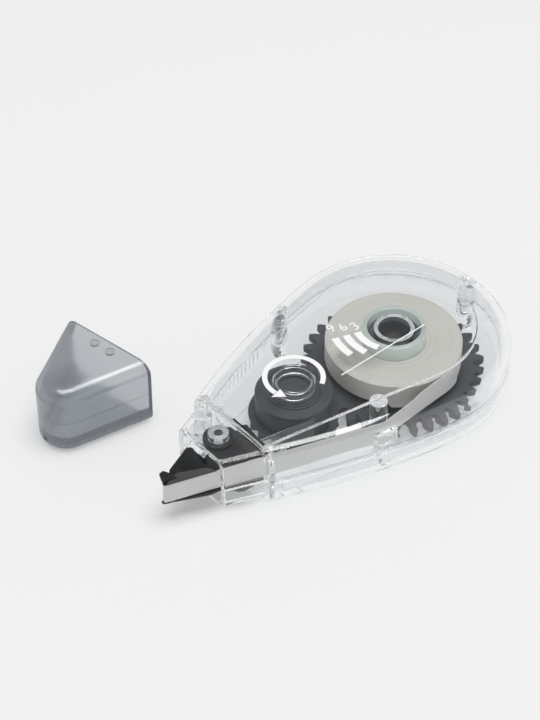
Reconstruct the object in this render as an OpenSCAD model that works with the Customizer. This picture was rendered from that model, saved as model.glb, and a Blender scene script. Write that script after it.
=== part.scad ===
// Correction tape: a clear teardrop case with two geared reels, a tape head and a loose cap.
// The origin is on the supply axis at the table, the head points along -X, and +Z is up.

/* [Case] */
// Radius of the round back of the case
back_r = 25.4; // [25.2:0.1:26.5]
// Thickness of the whole case
case_h = 17; // [16.9:0.1:17.6]
// Wall thickness of the case
wall = 1.3; // [1.1:0.1:1.4]
// Radius of the rounded rim round the case
rim_fillet = 4; // [3:0.5:4.5]
// How far the flat panels stand out of the top and bottom
panel_rise = 0.5; // [0.3:0.1:0.6]
// Radius of the flat panels round the supply axis
panel_r = 18; // [17:0.5:19]
// Distance from the supply axis to the collar face
collar_reach = 45.9; // [45.5:0.1:46.5]
// Half width of the case at the collar
collar_half = 12.3; // [12:0.1:12.6]
// Thickness of the wall behind the collar face
collar_wall = 1.7; // [1.2:0.1:2]
// Length of the nose in front of the collar
nose_l = 8; // [7:0.5:9]
// Half width of the nose at its open front
nose_half = 7.5; // [7.2:0.1:8]
// How far the nose is set in from the collar, all round
nose_step = 1.55; // [1.4:0.05:1.7]

/* [Gears] */
// Gear module
gear_module = 1.12; // [1.1:0.01:1.13]
// Teeth of the drive gear
drive_teeth = 34; // [33:1:35]
// Teeth of the take-up pinion
pinion_teeth = 15; // [14:1:15]
// Pressure angle of the teeth
pressure = 25; // [22:1:26]
// Play between meshing teeth
backlash = 0.2; // [0.15:0.05:0.3]
// Thickness of the drive gear
gear_t = 1.6; // [1.2:0.1:1.7]

/* [Tape] */
// Width of the tape
tape_w = 5; // [4.2:0.1:5]
// Thickness of a single run of tape, drawn heavier than the real film
tape_t = 0.2; // [0.15:0.05:0.3]
// Radius of the tape left on the supply core
roll_r = 14.9; // [10:0.1:15.5]
// Radius of the spent ribbon on the take-up reel
spent_r = 8.2; // [6.5:0.1:8.6]
// Height of the lower edge of the tape
tape_z = 6.3; // [6.2:0.1:6.5]

/* [Head] */
// Distance from the supply axis to the pressing edge
head_reach = 64.3; // [63.5:0.1:65]
// Thickness of the upper and lower plates of the head
plate_t = 0.7; // [0.5:0.1:0.8]
// Height of the raised ring round the eye of the head
eye_h = 1.5; // [1:0.1:1.5]

/* [Cap] */
// Length of the cap
cap_l = 20.2; // [20.1:0.1:22]
// Half width of the cap at its mouth
cap_half = 12; // [11.9:0.1:12.3]
// Wall thickness of the cap
cap_wall = 1; // [0.8:0.1:1]
// Radius of the cap's round end in plan
cap_end_r = 6; // [5:0.5:7]
// Radius of the cap's rounded edges
cap_fillet = 2.4; // [2:0.1:3]
// Where the middle of the cap's mouth lies along the case
cap_x = -50.1; // [-60:0.1:-45]
// Where the middle of the cap's mouth lies beside the case
cap_y = 35.8; // [34:0.1:50]
// Turn of the cap on the table
cap_turn = 10.5; // [0:0.5:20]

/* [Hidden] */
$fn = 96;
rim_fn = 48;
corner_fn = 32;

// Small distances: a hair of overlap, a running fit, room beside a moving face, play of the tape,
// how far a cut runs past a face, and more than the case reaches
eps = 0.02;
fit = 0.06;
gap = 0.3;
play = 0.15;
past = 1;
reach = 40;

// Case
seam_z = case_h / 2;
side_tangent = 100;
collar = [-collar_reach, collar_half];
panel_margin = 2.5;
panel_root = 0.4;
panel_end = [-collar_reach, collar_half - panel_margin];
panel_tangent = atan2(panel_end[1], panel_end[0]) - acos(panel_r / norm(panel_end));
back_steps = 44;
side_steps = 9;
rim_steps = 6;
groove = 0.35;
groove_h = 1.3;
floor_z = panel_rise + wall;
roof_z = case_h - floor_z;
nose_front = -collar_reach - nose_l;
nose_round = 2.6;
nose_back_half = collar_half - nose_step;
nose_taper = (nose_back_half - nose_half) / nose_l;
nose_roof_z = case_h - nose_step - wall;

// Fins inside the side walls, where the shells latch
latch_x = [-42.6, -38.8];
latch_l = 2.2;
latch_t = 0.9;
latch_root = 0.3;
latch_top = seam_z - 1.5;
side_slope = 0.38;

// Posts that take a pin from above, and the boss in the nose that the head hangs on
far_post = [-15.2, 20.4];
back_post = [22.5, 0.7];
guide_post = [-18, -14.6];
nose_post = [-47.7, 7];
pinned_posts = [far_post, back_post, guide_post, nose_post];
nose_boss = [-48.5, 1];
post_r = 1.9;
boss_r = 2.2;
pin_r = 0.95;
pin_l = 3;
socket_spare = 0.5;

// Supply reel
gear_z = 2.8;
spindle_boss_top = gear_z - 0.2;
supply_spindle_r = 4.4;
supply_bore_r = 3.5;
supply_boss_r = 6.2;
hub_r = 5.75;
core_in_r = hub_r + fit;
core_r = 7;
core_z = gear_z + gear_t + play;
core_top = roof_z - gap;
core_lip_w = 2.5;
core_lip_t = 0.4;
core_lip_z = tape_z - play - core_lip_t;
hub_top = core_top - 1.9;
spindle_top = core_top - 0.2;
drive_pitch = gear_module * drive_teeth / 2;

// Clutch ring in its groove on the gear hub
clutch_z = 8;
clutch_h = 1.2;
clutch_depth = 0.6;
clutch_play = 0.05;

// Take-up reel
pinion_pitch = gear_module * pinion_teeth / 2;
take_up_offset = 1.5;
centre_distance = drive_pitch + pinion_pitch;
take_up = [-sqrt(centre_distance ^ 2 - take_up_offset ^ 2), take_up_offset];
mesh_angle = atan2(take_up[1], take_up[0]);
take_up_spindle_r = 2.4;
drum_r = 5.2;
lower_flange_r = 9.7;
lower_flange_t = 0.35;
lower_flange_z = tape_z - lower_flange_t - 0.1;
upper_flange_r = 8.3;
flange_z = tape_z + tape_w + play;
flange_t = 0.45;
crown_r = 5.7;
crown_top_r = 4.7;
crown_h = 1.1;
crown_steps = 3;
dish_r = 3.6;
dish_depth = 0.5;
crown_z = flange_z + flange_t + crown_h;
take_up_keeper_r = 4.55;
take_up_keeper_in_r = 3.7;

// Teeth, in modules above and below the pitch circle, and the rounding of their tips and roots
addendum = 0.95;
dedendum = 1.2;
root_step = 0.1;
root_flare = 1.12;
tip_round = 0.25;
tip_crown = 0.06;
crown_shares = [0.7, 0.3];

// Tape path
tape_lift = 0.1;
run_stop = 1;
post_clear = post_r + tape_lift;
head_edge = [-head_reach, -0.6];
head_round = 0.35;
head_centre = head_edge + [head_round, 0];
fresh_a = run_tangent(head_centre, head_round, guide_post, post_clear);
fresh_b = run_tangent(guide_post, post_clear, [0, 0], roll_r + tape_lift);
bend_start = atan2(fresh_a[1][1] - guide_post[1], fresh_a[1][0] - guide_post[0]);
bend_end = atan2(fresh_b[0][1] - guide_post[1], fresh_b[0][0] - guide_post[0]);
return_a = run_tangent(take_up, -spent_r - gap, head_centre, head_round);
edge_start = atan2(return_a[1][1] - head_centre[1], return_a[1][0] - head_centre[0]);
edge_end = atan2(fresh_a[0][1] - head_centre[1], fresh_a[0][0] - head_centre[0]) + 360;
fresh_run = (fresh_a[1] - fresh_a[0]) / norm(fresh_a[1] - fresh_a[0]);
return_run = (return_a[0] - return_a[1]) / norm(return_a[0] - return_a[1]);

// Head: heights of its plates, and places in the plan measured from the pressing edge or along the fresh tape
plate_low = tape_z - play - plate_t;
plate_high = tape_z + tape_w + play;
base_t = plate_t / 3;
eye_r = 3.3;
blade_l = 11;
blade_lift = 0.1;
plate_lip = tape_t + 0.1;
hook_points = [[-0.2, 0.1], [0.3, 1.4], [0.8, 2.5], [1.9, 2.6], [2.6, 1.1], [2.9, -0.6]];
hook_outline = [for (p = hook_points) head_edge + p];
wing_front = head_edge + [3.1, 2];
wing_corner = head_edge + [9.6, 4.5];
wing_round = 1;
fold_front = head_edge + [3.5, 0.4];
fold_back = head_edge + [9.3, -2.5];
tail_far = [-41.4, 0.3];
tail_run = 22.5;
foot = [for (p = [[-0.3, 0.6], [-0.1, 0], [1.1, -0.3]]) head_edge + p];
flare_start = 2.2;
flare = [head_edge + [8.8, -4.2], head_edge + [11, -4.5]];
guard_centre = [-48.5, -4.1];
guard_r = 2.7;
guard_end = [-44.2, -7.9];

function unit(t) = [cos(t), sin(t)];
function dot(a, b) = a[0] * b[0] + a[1] * b[1];
function turn(p, t) = [p[0] * cos(t) - p[1] * sin(t), p[0] * sin(t) + p[1] * cos(t)];

// How much larger than r the side arc is that leaves a circle of radius r at the tangent angle
// and ends at a point
function side_extra(r, end) = (dot(end, end) - r ^ 2) / (2 * (r - dot(end, unit(side_tangent))));

// Outline of the case set in by i, from the near end of its front line round the back to the far end
function teardrop_ring(i, front) = let (
    extra = side_extra(back_r, collar),
    centre = -extra * unit(side_tangent),
    side_r = back_r + extra - i,
    start = acos((front - centre[0]) / side_r),
    far = [for (k = [0:side_steps]) centre + side_r * unit(start + (side_tangent - start) * k / side_steps)]
) concat(
    [for (p = far) [p[0], -p[1]]],
    [for (k = [1:back_steps - 1]) (back_r - i) * unit(side_tangent * (2 * k / back_steps - 1))],
    [for (k = [side_steps:-1:0]) far[k]]
);

// Section of a round plate from its axis to its rim, both rim edges rounded
module rim_section(r, z0, z1, f) {
    translate([0, z0]) square([r - f, z1 - z0]);
    translate([0, z0 + f]) square([r, z1 - z0 - 2 * f]);
    for (z = [z0 + f, z1 - f]) translate([r - f, z]) circle(f, $fn = rim_fn);
}

// Teardrop solid set in by i: rings of the outline, drawn in towards the top and the bottom by a round rim
module teardrop(i, front) {
    f = rim_fillet - i;
    z0 = panel_rise + i;
    z1 = case_h - panel_rise - i;
    low = [for (k = [0:rim_steps]) let (t = 90 * k / rim_steps) [i + f * (1 - sin(t)), f * (1 - cos(t))]];
    levels = concat(
        [for (q = low) [q[0], z0 + q[1]]],
        [for (k = [rim_steps:-1:0]) [low[k][0], z1 - low[k][1]]]);
    n = len(teardrop_ring(0, front));
    top = (len(levels) - 1) * n;
    polyhedron(
        points = [for (q = levels, p = teardrop_ring(q[0], front)) [p[0], p[1], q[1]]],
        faces = concat(
            [[for (k = [0:n - 1]) k], [for (k = [n - 1:-1:0]) top + k]],
            [for (j = [0:len(levels) - 2], k = [0:n - 1])
                [j * n + k, (j + 1) * n + k, (j + 1) * n + (k + 1) % n, j * n + (k + 1) % n]]));
}

// Flat panels on the top and the bottom: a circle with two tangents that run to the collar
module panels() {
    for (z = [0, case_h - panel_rise - panel_root])
        translate([0, 0, z]) linear_extrude(panel_rise + panel_root) {
            circle(panel_r);
            polygon([panel_end, panel_r * unit(panel_tangent), panel_r * unit(-panel_tangent),
                [panel_end[0], -panel_end[1]]]);
        }
}

// Thin rounded plate across X, the start and end of a tapered form
module section_plate(x, half, z0, z1, r) {
    translate([x, 0, 0]) rotate([90, 0, 90]) linear_extrude(eps) {
        translate([-half + r, z0]) square([2 * (half - r), z1 - z0]);
        translate([-half, z0 + r]) square([2 * half, z1 - z0 - 2 * r]);
        for (y = [-half + r, half - r], z = [z0 + r, z1 - r]) translate([y, z]) circle(r, $fn = corner_fn);
    }
}

// Nose wedge set in by i, from behind the collar face to a front plane
module nose_block(i, back, front) {
    z0 = nose_step + i;
    z1 = case_h - nose_step - i;
    hull() {
        section_plate(back, nose_back_half + nose_taper * (back + collar_reach) - i, z0, z1, nose_round - i);
        section_plate(front, nose_half + nose_taper * (front - nose_front) - i, z0, z1, nose_round - i);
    }
}

module case_outside() {
    teardrop(0, -collar_reach);
    panels();
    nose_block(0, -collar_reach + past, nose_front);
}

module case_inside() {
    teardrop(wall, -collar_reach + collar_wall);
    nose_block(wall, -collar_reach + collar_wall + past, nose_front - past);
}

// Shallow groove round the outside along the seam
module seam_groove() {
    difference() {
        translate([0, 0, seam_z - groove_h / 2]) linear_extrude(groove_h) square(4 * reach, center = true);
        linear_extrude(case_h) polygon(teardrop_ring(groove, -collar_reach + groove));
        nose_block(groove, -collar_reach + past, nose_front + groove);
    }
}

// A cylinder that stands at a place in the plan
module bar(place, r, z, h) {
    translate([place[0], place[1], z]) cylinder(r = r, h = h);
}

module posts() {
    for (p = pinned_posts) bar(p, post_r, 0, case_h);
    bar(nose_boss, boss_r, 0, case_h);
}

// Two low fins inside the near and the far wall behind the collar, where the shells latch
module latch_fins() {
    for (side = [1, -1], x = latch_x) {
        inside = collar_half - wall + (x + collar_reach) * side_slope;
        translate([x - latch_t / 2, side * (inside - latch_l / 2 + latch_root) - latch_l / 2, 0])
            cube([latch_t, latch_l, latch_top]);
    }
}

// One half of the case, between two heights
module half_shell(z0, z1) {
    intersection() {
        translate([-2 * reach, -reach, z0]) cube([4 * reach, 2 * reach, z1 - z0]);
        difference() {
            case_outside();
            difference() {
                case_inside();
                children();
            }
            seam_groove();
        }
    }
}

// Lower half with the two spindles, sockets in its posts and a pin on the nose boss
module lower_shell() {
    color([0.85, 0.88, 0.9, 0.4]) difference() {
        union() {
            half_shell(0, seam_z) {
                posts();
                latch_fins();
                bar([0, 0], supply_boss_r, 0, spindle_boss_top);
                bar(take_up, drum_r, 0, spindle_boss_top);
            }
            bar([0, 0], supply_spindle_r, floor_z - eps, spindle_top - floor_z);
            bar(take_up, take_up_spindle_r, floor_z - eps, flange_z - socket_spare - floor_z);
            bar(nose_boss, pin_r, seam_z - past, pin_l + past);
        }
        for (p = pinned_posts) bar(p, pin_r + fit, seam_z - pin_l - socket_spare, case_h);
        bar([0, 0], supply_bore_r, gear_z, case_h);
    }
}

// Upper half with pins that enter the lower posts, a bored nose boss and a ring that keeps the take-up reel down
module upper_shell() {
    color([0.9, 0.92, 0.94, 0.35]) {
        difference() {
            half_shell(seam_z, case_h) {
                posts();
                bar(take_up, take_up_keeper_r, crown_z + gap, case_h);
            }
            bar(take_up, take_up_keeper_in_r, seam_z, roof_z - seam_z);
            bar(nose_boss, pin_r + fit, seam_z - past, nose_roof_z - seam_z + past);
        }
        for (p = pinned_posts) bar(p, pin_r, seam_z - pin_l, pin_l + past);
    }
}

// Half angle of a tooth at radius r
function involute(a) = tan(a) * 180 / PI - a;
function tooth_half(r, pitch, teeth) = 90 / teeth - backlash / 4 / pitch * 180 / PI + involute(pressure)
    - involute(acos(min(1, pitch * cos(pressure) / r)));

// Outline of an involute gear with rounded tooth tips, one tooth on the +X axis
module gear_outline(teeth, steps = 5) {
    pitch = gear_module * teeth / 2;
    tip = pitch + addendum * gear_module;
    root = pitch - dedendum * gear_module;
    foot = max(root + root_step, pitch * cos(pressure));
    shoulder = tip - tip_round;
    radii = [for (k = [0:steps]) foot + (shoulder - foot) * k / steps];
    flank = [for (r = radii) [r, tooth_half(r, pitch, teeth)]];
    crown_half = tooth_half(shoulder, pitch, teeth);
    crown = [[tip - tip_crown, crown_half * crown_shares[0]], [tip, crown_half * crown_shares[1]]];
    side = concat([[root, flank[0][1] * root_flare]], flank, crown);
    last = len(side) - 1;
    polygon([for (n = [0:teeth - 1]) each concat(
        [for (k = [0:last]) side[k][0] * unit(n * 360 / teeth - side[k][1])],
        [for (k = [last:-1:0]) side[k][0] * unit(n * 360 / teeth + side[k][1])])]);
}

// Toothed plate with a hub that carries the supply core; a groove in the hub holds the clutch ring
module drive_gear() {
    color([0.14, 0.15, 0.16]) difference() {
        union() {
            translate([0, 0, gear_z]) rotate([0, 0, mesh_angle])
                linear_extrude(gear_t) gear_outline(drive_teeth);
            bar([0, 0], hub_r, gear_z, hub_top - gear_z);
        }
        bar([0, 0], supply_spindle_r + fit, gear_z - past, case_h);
        difference() {
            bar([0, 0], hub_r + past, clutch_z, clutch_h);
            bar([0, 0], hub_r - clutch_depth, clutch_z, clutch_h);
        }
    }
}

// Rubber band that drags the core round until the tape pulls harder
module clutch_ring() {
    color([0.32, 0.33, 0.34]) difference() {
        bar([0, 0], hub_r - eps, clutch_z + clutch_play, clutch_h - 2 * clutch_play);
        bar([0, 0], hub_r - clutch_depth + eps, 0, case_h);
    }
}

// Clear core that the tape is wound on, with a thin lip under the tape
module supply_core() {
    color([0.8, 0.9, 0.87, 0.5]) difference() {
        union() {
            bar([0, 0], core_r, core_z, core_top - core_z);
            bar([0, 0], core_r + core_lip_w, core_lip_z, core_lip_t);
        }
        bar([0, 0], core_in_r, 0, case_h);
    }
}

module tape_roll() {
    color([0.76, 0.76, 0.74]) difference() {
        bar([0, 0], roll_r, tape_z, tape_w);
        bar([0, 0], core_r + eps, 0, case_h);
    }
}

// Pinion, lower flange and drum in one moulding
module take_up_reel() {
    color([0.13, 0.14, 0.15]) difference() {
        union() {
            translate([take_up[0], take_up[1], gear_z]) rotate([0, 0, mesh_angle + 180 + 180 / pinion_teeth])
                linear_extrude(tape_z - gear_z - lower_flange_t) gear_outline(pinion_teeth);
            bar(take_up, lower_flange_r, lower_flange_z, lower_flange_t);
            bar(take_up, drum_r, lower_flange_z, flange_z - lower_flange_z - eps);
        }
        bar(take_up, take_up_spindle_r + fit, 0, case_h);
    }
}

// Upper flange pressed on the drum, with a stepped, dished crown
module take_up_flange() {
    step_in = (crown_r - crown_top_r) / (crown_steps - 1);
    step_up = crown_h / crown_steps;
    steps = [for (k = [0:crown_steps - 1], q = [0, 1]) [crown_r - k * step_in, flange_t + (k + q) * step_up]];
    top = flange_t + crown_h;
    dish = top - dish_depth;
    color([0.16, 0.17, 0.18]) translate([take_up[0], take_up[1], flange_z]) rotate_extrude()
        polygon(concat([[0, 0], [upper_flange_r, 0], [upper_flange_r, flange_t]], steps,
            [[dish_r, top], [dish_r, dish], [0, dish]]));
}

module spent_ribbon() {
    color([0.3, 0.42, 0.43]) difference() {
        bar(take_up, spent_r, tape_z, tape_w);
        bar(take_up, drum_r + eps, 0, case_h);
    }
}

// Corners of the run between two circles that the tape passes on the same side, seen from above
function run_tangent(c0, r0, c1, r1) = let (
    d = c1 - c0,
    t = atan2(d[1], d[0]) + asin((r0 - r1) / norm(d)) - 90
) [c0 + r0 * unit(t), c1 + r1 * unit(t)];

function arc(c, r, t0, t1, steps = 12) = [for (k = [0:steps]) c + r * unit(t0 + (t1 - t0) * k / steps)];
function reverse(list) = [for (k = [len(list) - 1:-1:0]) list[k]];

// Strip of tape on edge between an inner and an outer path
module tape_strip(inner, outer) {
    translate([0, 0, tape_z]) linear_extrude(tape_w) polygon(concat(inner, reverse(outer)));
}

// Fresh tape from the roll round the guide post and the pressing edge
function fresh_path(out) = concat(
    arc(head_centre, head_round + out, edge_start, edge_end),
    arc(guide_post, post_clear + out, bend_start, bend_end),
    [fresh_b[1] + out * unit(bend_end) - [run_stop, 0]]
);
module fresh_tape() {
    color([0.93, 0.93, 0.91]) tape_strip(fresh_path(0), fresh_path(tape_t));
}

// Spent ribbon from behind the pressing edge back to the take-up reel
function return_path(out) = [for (p = return_a) p + out * unit(edge_start)];
module return_tape() {
    color([0.78, 0.8, 0.8]) tape_strip(return_path(0), return_path(tape_t));
}

// Place beside the fresh tape: so far along it from the pressing edge, and so far out from its inner face
function beside(along, out) = fresh_a[0] + along * fresh_run + out * turn(fresh_run, -90);

// Wing of the upper plate, which slopes down from a fold to the tape, with a hook at the pressing edge
module head_wing() {
    hull() {
        linear_extrude(base_t) {
            polygon([beside(0, plate_lip), beside(blade_l, plate_lip), wing_corner, wing_front]);
            translate(wing_corner + wing_round * [0, -1]) circle(wing_round, $fn = corner_fn);
        }
        linear_extrude(plate_t) {
            polygon([fold_front, fold_back, wing_corner, wing_front]);
            translate(wing_corner + wing_round * [0, -1]) circle(wing_round, $fn = corner_fn);
        }
    }
    linear_extrude(plate_t) polygon(hook_outline);
}

// Eye and tail of the upper plate, inside the nose
module head_tail() {
    linear_extrude(plate_t) {
        translate(nose_boss) circle(eye_r);
        polygon([nose_boss + eye_r * unit(60), nose_boss + eye_r * unit(180), fold_back,
            beside(blade_l, 0), beside(tail_run, 0), tail_far]);
    }
    bar(nose_boss, eye_r, 0, eye_h);
}

// Lower plate, with a foot under the pressing edge and a guard that stands out beside the tape
module head_base() {
    linear_extrude(plate_t) {
        translate(nose_boss) circle(eye_r);
        polygon(concat(foot, [beside(flare_start, 0)], flare, arc(guard_centre, guard_r, 205, 270),
            [guard_end, [guard_end[0], tail_far[1]], nose_boss + eye_r * unit(60),
            nose_boss + eye_r * unit(120)]));
    }
}

// Thin wedge that fills the room between the fresh tape and the returning ribbon
module head_blade() {
    fresh_in = blade_lift * turn(fresh_run, 90);
    return_in = blade_lift * turn(return_run, -90);
    translate(head_centre) circle(head_round - blade_lift, $fn = corner_fn);
    polygon([fresh_a[0] + fresh_in, fresh_a[0] + fresh_in + blade_l * fresh_run,
        return_a[1] + return_in + blade_l * return_run, return_a[1] + return_in]);
}

// Black tape head: an upper and a lower plate, the pressing blade between them, and an eye on the nose boss
module head() {
    color([0.13, 0.14, 0.15]) difference() {
        union() {
            translate([0, 0, plate_high]) {
                head_wing();
                head_tail();
            }
            translate([0, 0, plate_low]) head_base();
            translate([0, 0, plate_low + eps])
                linear_extrude(plate_high + base_t - plate_low - 2 * eps) head_blade();
        }
        bar(nose_boss, boss_r + fit, 0, case_h);
    }
}

// Cap: a wedge from its mouth to a round end, with one rounded edge all round
module cap_block(i, mouth) {
    z0 = i;
    z1 = case_h - i;
    f = cap_fillet - i;
    hull() {
        section_plate(mouth, cap_half - i, z0, z1, f);
        translate([-cap_l + cap_end_r, 0, 0]) rotate_extrude($fn = rim_fn)
            rim_section(cap_end_r - i, z0, z1, f);
    }
}

module cap() {
    color([0.5, 0.54, 0.58, 0.75]) translate([cap_x, cap_y, 0]) rotate([0, 0, cap_turn]) difference() {
        cap_block(0, -eps);
        cap_block(cap_wall, gap);
    }
}

lower_shell();
upper_shell();
head();
drive_gear();
clutch_ring();
supply_core();
tape_roll();
take_up_reel();
take_up_flange();
spent_ribbon();
fresh_tape();
return_tape();
cap();
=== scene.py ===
"""Looks of a clear correction tape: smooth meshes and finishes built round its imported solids."""

import logging
from dataclasses import dataclass
from enum import Enum
from typing import Any, Sequence

import bmesh
import bpy
import numpy as np
from mathutils import Matrix, Vector


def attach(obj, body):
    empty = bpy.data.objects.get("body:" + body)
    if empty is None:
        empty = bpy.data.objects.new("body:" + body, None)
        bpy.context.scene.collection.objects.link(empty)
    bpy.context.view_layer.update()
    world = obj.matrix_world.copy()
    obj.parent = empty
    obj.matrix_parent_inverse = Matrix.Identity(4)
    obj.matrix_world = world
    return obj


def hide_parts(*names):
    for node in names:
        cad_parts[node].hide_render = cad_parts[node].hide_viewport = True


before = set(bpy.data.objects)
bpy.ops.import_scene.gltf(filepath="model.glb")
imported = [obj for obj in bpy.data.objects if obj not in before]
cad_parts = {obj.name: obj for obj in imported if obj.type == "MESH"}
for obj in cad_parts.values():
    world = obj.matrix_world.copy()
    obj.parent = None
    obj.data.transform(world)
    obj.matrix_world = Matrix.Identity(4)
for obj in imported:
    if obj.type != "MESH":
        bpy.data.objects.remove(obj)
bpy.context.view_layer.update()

MM = 0.001
LOG = logging.getLogger("correction_tape")

# Short names for Blender's types
Piece = bpy.types.Object
Material = bpy.types.Material
Tree = bpy.types.NodeTree
Node = bpy.types.Node
Socket = bpy.types.NodeSocket

# All in millimetres: points nearer than WELD are one, edges shorter than SLIVER go, cutters run PAST a face, faces that
# would lie in one another stay a HAIR apart, sections end AXIS_R from their axis, and SOFT edges are barely rounded
WELD = 0.0005
SLIVER = 0.0002
PAST = 1.0
HAIR = 0.02
AXIS_R = 0.02
SOFT = 0.1

# Strips over the rounded edge of a plate, and points round a reel
EDGE_STEPS = 3
ROUND_STEPS = 128

# Turns plan points over to the other side of the case
ACROSS = np.array([1, -1])

# Least share of a corner's bisector that an inset is divided by, so that sharp corners don't shoot out
BLUNTEST = 0.4

# Edges that bend by more degrees than this stay sharp
SHARP = 28

# Range that holds most of a noise's values
NOISE_SPAN = {"From Min": 0.3, "From Max": 0.7}


class Body(str, Enum):
    """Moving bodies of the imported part."""

    CASE = "case"
    DRIVE = "drive"
    SUPPLY = "supply"
    TAKE_UP = "take_up"
    CAP = "cap"


class Slot(str, Enum):
    """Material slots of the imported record."""

    CASE = "clear_case"
    CAP = "smoky_cap"
    BLACK = "black_moulding"
    RUBBER = "clutch_rubber"
    CORE = "clear_core"
    TAPE = "white_tape"
    FILM = "spent_film"


class Cut(Enum):
    """Ways in which one solid acts on another."""

    JOIN = "UNION"
    REMOVE = "DIFFERENCE"


# Small tools for shapes


def unit(degrees: np.ndarray | float) -> np.ndarray:
    """Unit vectors in the plan at angles from +X, as an array whose last axis is x and y."""
    radians = np.radians(degrees)
    return np.stack([np.cos(radians), np.sin(radians)], axis=-1)


def at_height(plan: np.ndarray, z: float) -> np.ndarray:
    """Plan points lifted to one height."""
    return np.concatenate([plan, np.full((*plan.shape[:-1], 1), z)], axis=-1)


def stack(rings: Sequence[tuple[np.ndarray, float]]) -> np.ndarray:
    """Grid of rings from pairs of a plan outline and its height."""
    return np.stack([at_height(plan, z) for plan, z in rings])


def quarter(radius: float, steps: int, power: float = 2.0) -> tuple[np.ndarray, np.ndarray]:
    """Rounded edge as how far it is set in and how far it has risen.

    The edge is a quarter of a superellipse: with s and c the sine and cosine of t raised to 2 / power, it is set
    in by r (1 - s) and risen by r (1 - c), from t = 0 to a right angle. The power 2 gives a circle, and a higher
    one bends in more gently from both faces.

    Args:
        radius: Reach of the edge along each face.
        steps: Number of strips over the quarter.
        power: Power of the superellipse.

    Returns:
        The two arrays, from the flat face to the upright wall.
    """
    t = np.linspace(0, np.pi / 2, steps + 1)
    s, c = np.clip([np.sin(t), np.cos(t)], 0, 1) ** (2 / power)
    return radius * (1 - s), radius * (1 - c)


def revolve(profile: np.ndarray, centre: Sequence[float] = (0, 0), steps: int = ROUND_STEPS) -> np.ndarray:
    """Grid of a profile carried round an upright axis.

    Args:
        profile: Points of radius and height.
        centre: The axis in the plan.
        steps: Number of points round the axis.

    Returns:
        One ring for each point of the profile.
    """
    round_axis = unit(np.linspace(0, 360, steps, endpoint=False))
    plan = np.asarray(centre) + profile[:, :1, None] * round_axis[None]
    heights = np.broadcast_to(profile[:, 1:2, None], (len(profile), steps, 1))
    return np.concatenate([plan, heights], axis=-1)


def ring_profile(inner: float, outer: float, low: float, high: float, edge: float, steps: int) -> np.ndarray:
    """Closed section of a ring, a rectangle with four rounded corners.

    Args:
        inner: Inner radius.
        outer: Outer radius.
        low: Height of the lower face.
        high: Height of the upper face.
        edge: Radius of the corners.
        steps: Strips over each corner.

    Returns:
        Points of radius and height, counter-clockwise.
    """
    t = np.linspace(0, 90, steps + 1)
    corners = [(outer, low, -90), (outer, high, 0), (inner, high, 90), (inner, low, 180)]
    arcs = []
    for radius, height, start in corners:
        towards = np.array([1 if radius == inner else -1, 1 if height == low else -1])
        arcs.append(np.array([radius, height]) + edge * towards + edge * unit(start + t))
    return np.concatenate(arcs)


def disc_profile(radius: float, low: float, high: float, edge: float, steps: int) -> np.ndarray:
    """Open section of a round bar with rounded ends.

    Args:
        radius: Radius of the bar.
        low: Height of the lower face.
        high: Height of the upper face.
        edge: Radius of the rounding.
        steps: Strips over each rounding.

    Returns:
        Points of radius and height, from the rim of the lower face to the rim of the upper face.
    """
    inset, rise = quarter(edge, steps)
    lower = np.stack([radius - inset, low + rise], axis=1)
    upper = np.stack([radius - inset[::-1], high - rise[::-1]], axis=1)
    return np.concatenate([lower, upper])


def shrink(outline: np.ndarray, inset: float) -> np.ndarray:
    """Closed outline moved inwards along the bisector of each corner.

    Args:
        outline: Plan points, counter-clockwise.
        inset: Distance to move.

    Returns:
        As many points as the outline has.
    """
    ahead = np.roll(outline, -1, axis=0) - outline
    ahead /= np.linalg.norm(ahead, axis=1, keepdims=True)
    normal = np.stack([-ahead[:, 1], ahead[:, 0]], axis=1)
    both = normal + np.roll(normal, 1, axis=0)
    length = np.maximum((both * normal).sum(1, keepdims=True), BLUNTEST)
    return outline + inset * both / length


def extrude(outline: np.ndarray, low: float, high: float, edge: float) -> np.ndarray:
    """Grid of a plate with rounded upper and lower edges.

    Args:
        outline: Plan points, counter-clockwise.
        low: Height of the lower face.
        high: Height of the upper face.
        edge: Radius of the edges.

    Returns:
        Rings from the lower face to the upper.
    """
    inset, rise = quarter(edge, EDGE_STEPS)
    levels = [(shrink(outline, i), low + r) for i, r in zip(inset, rise)]
    levels += [(shrink(outline, i), high - r) for i, r in zip(inset[::-1], rise[::-1])]
    return stack(levels)


def bezier(start: np.ndarray, control: np.ndarray, end: np.ndarray, steps: int) -> np.ndarray:
    """Points of a quadratic curve, which rounds the corner at its control point."""
    t = np.linspace(0, 1, steps + 1)[:, None]
    return (1 - t) ** 2 * start + 2 * t * (1 - t) * control + t ** 2 * end


def linked(name: str, data: Any) -> Piece:
    """Makes an object and links it to the scene.

    Args:
        name: Name of the object.
        data: Its mesh, curve, camera or lamp.

    Returns:
        The object.
    """
    piece = bpy.data.objects.new(name, data)
    bpy.context.scene.collection.objects.link(piece)
    return piece


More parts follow.
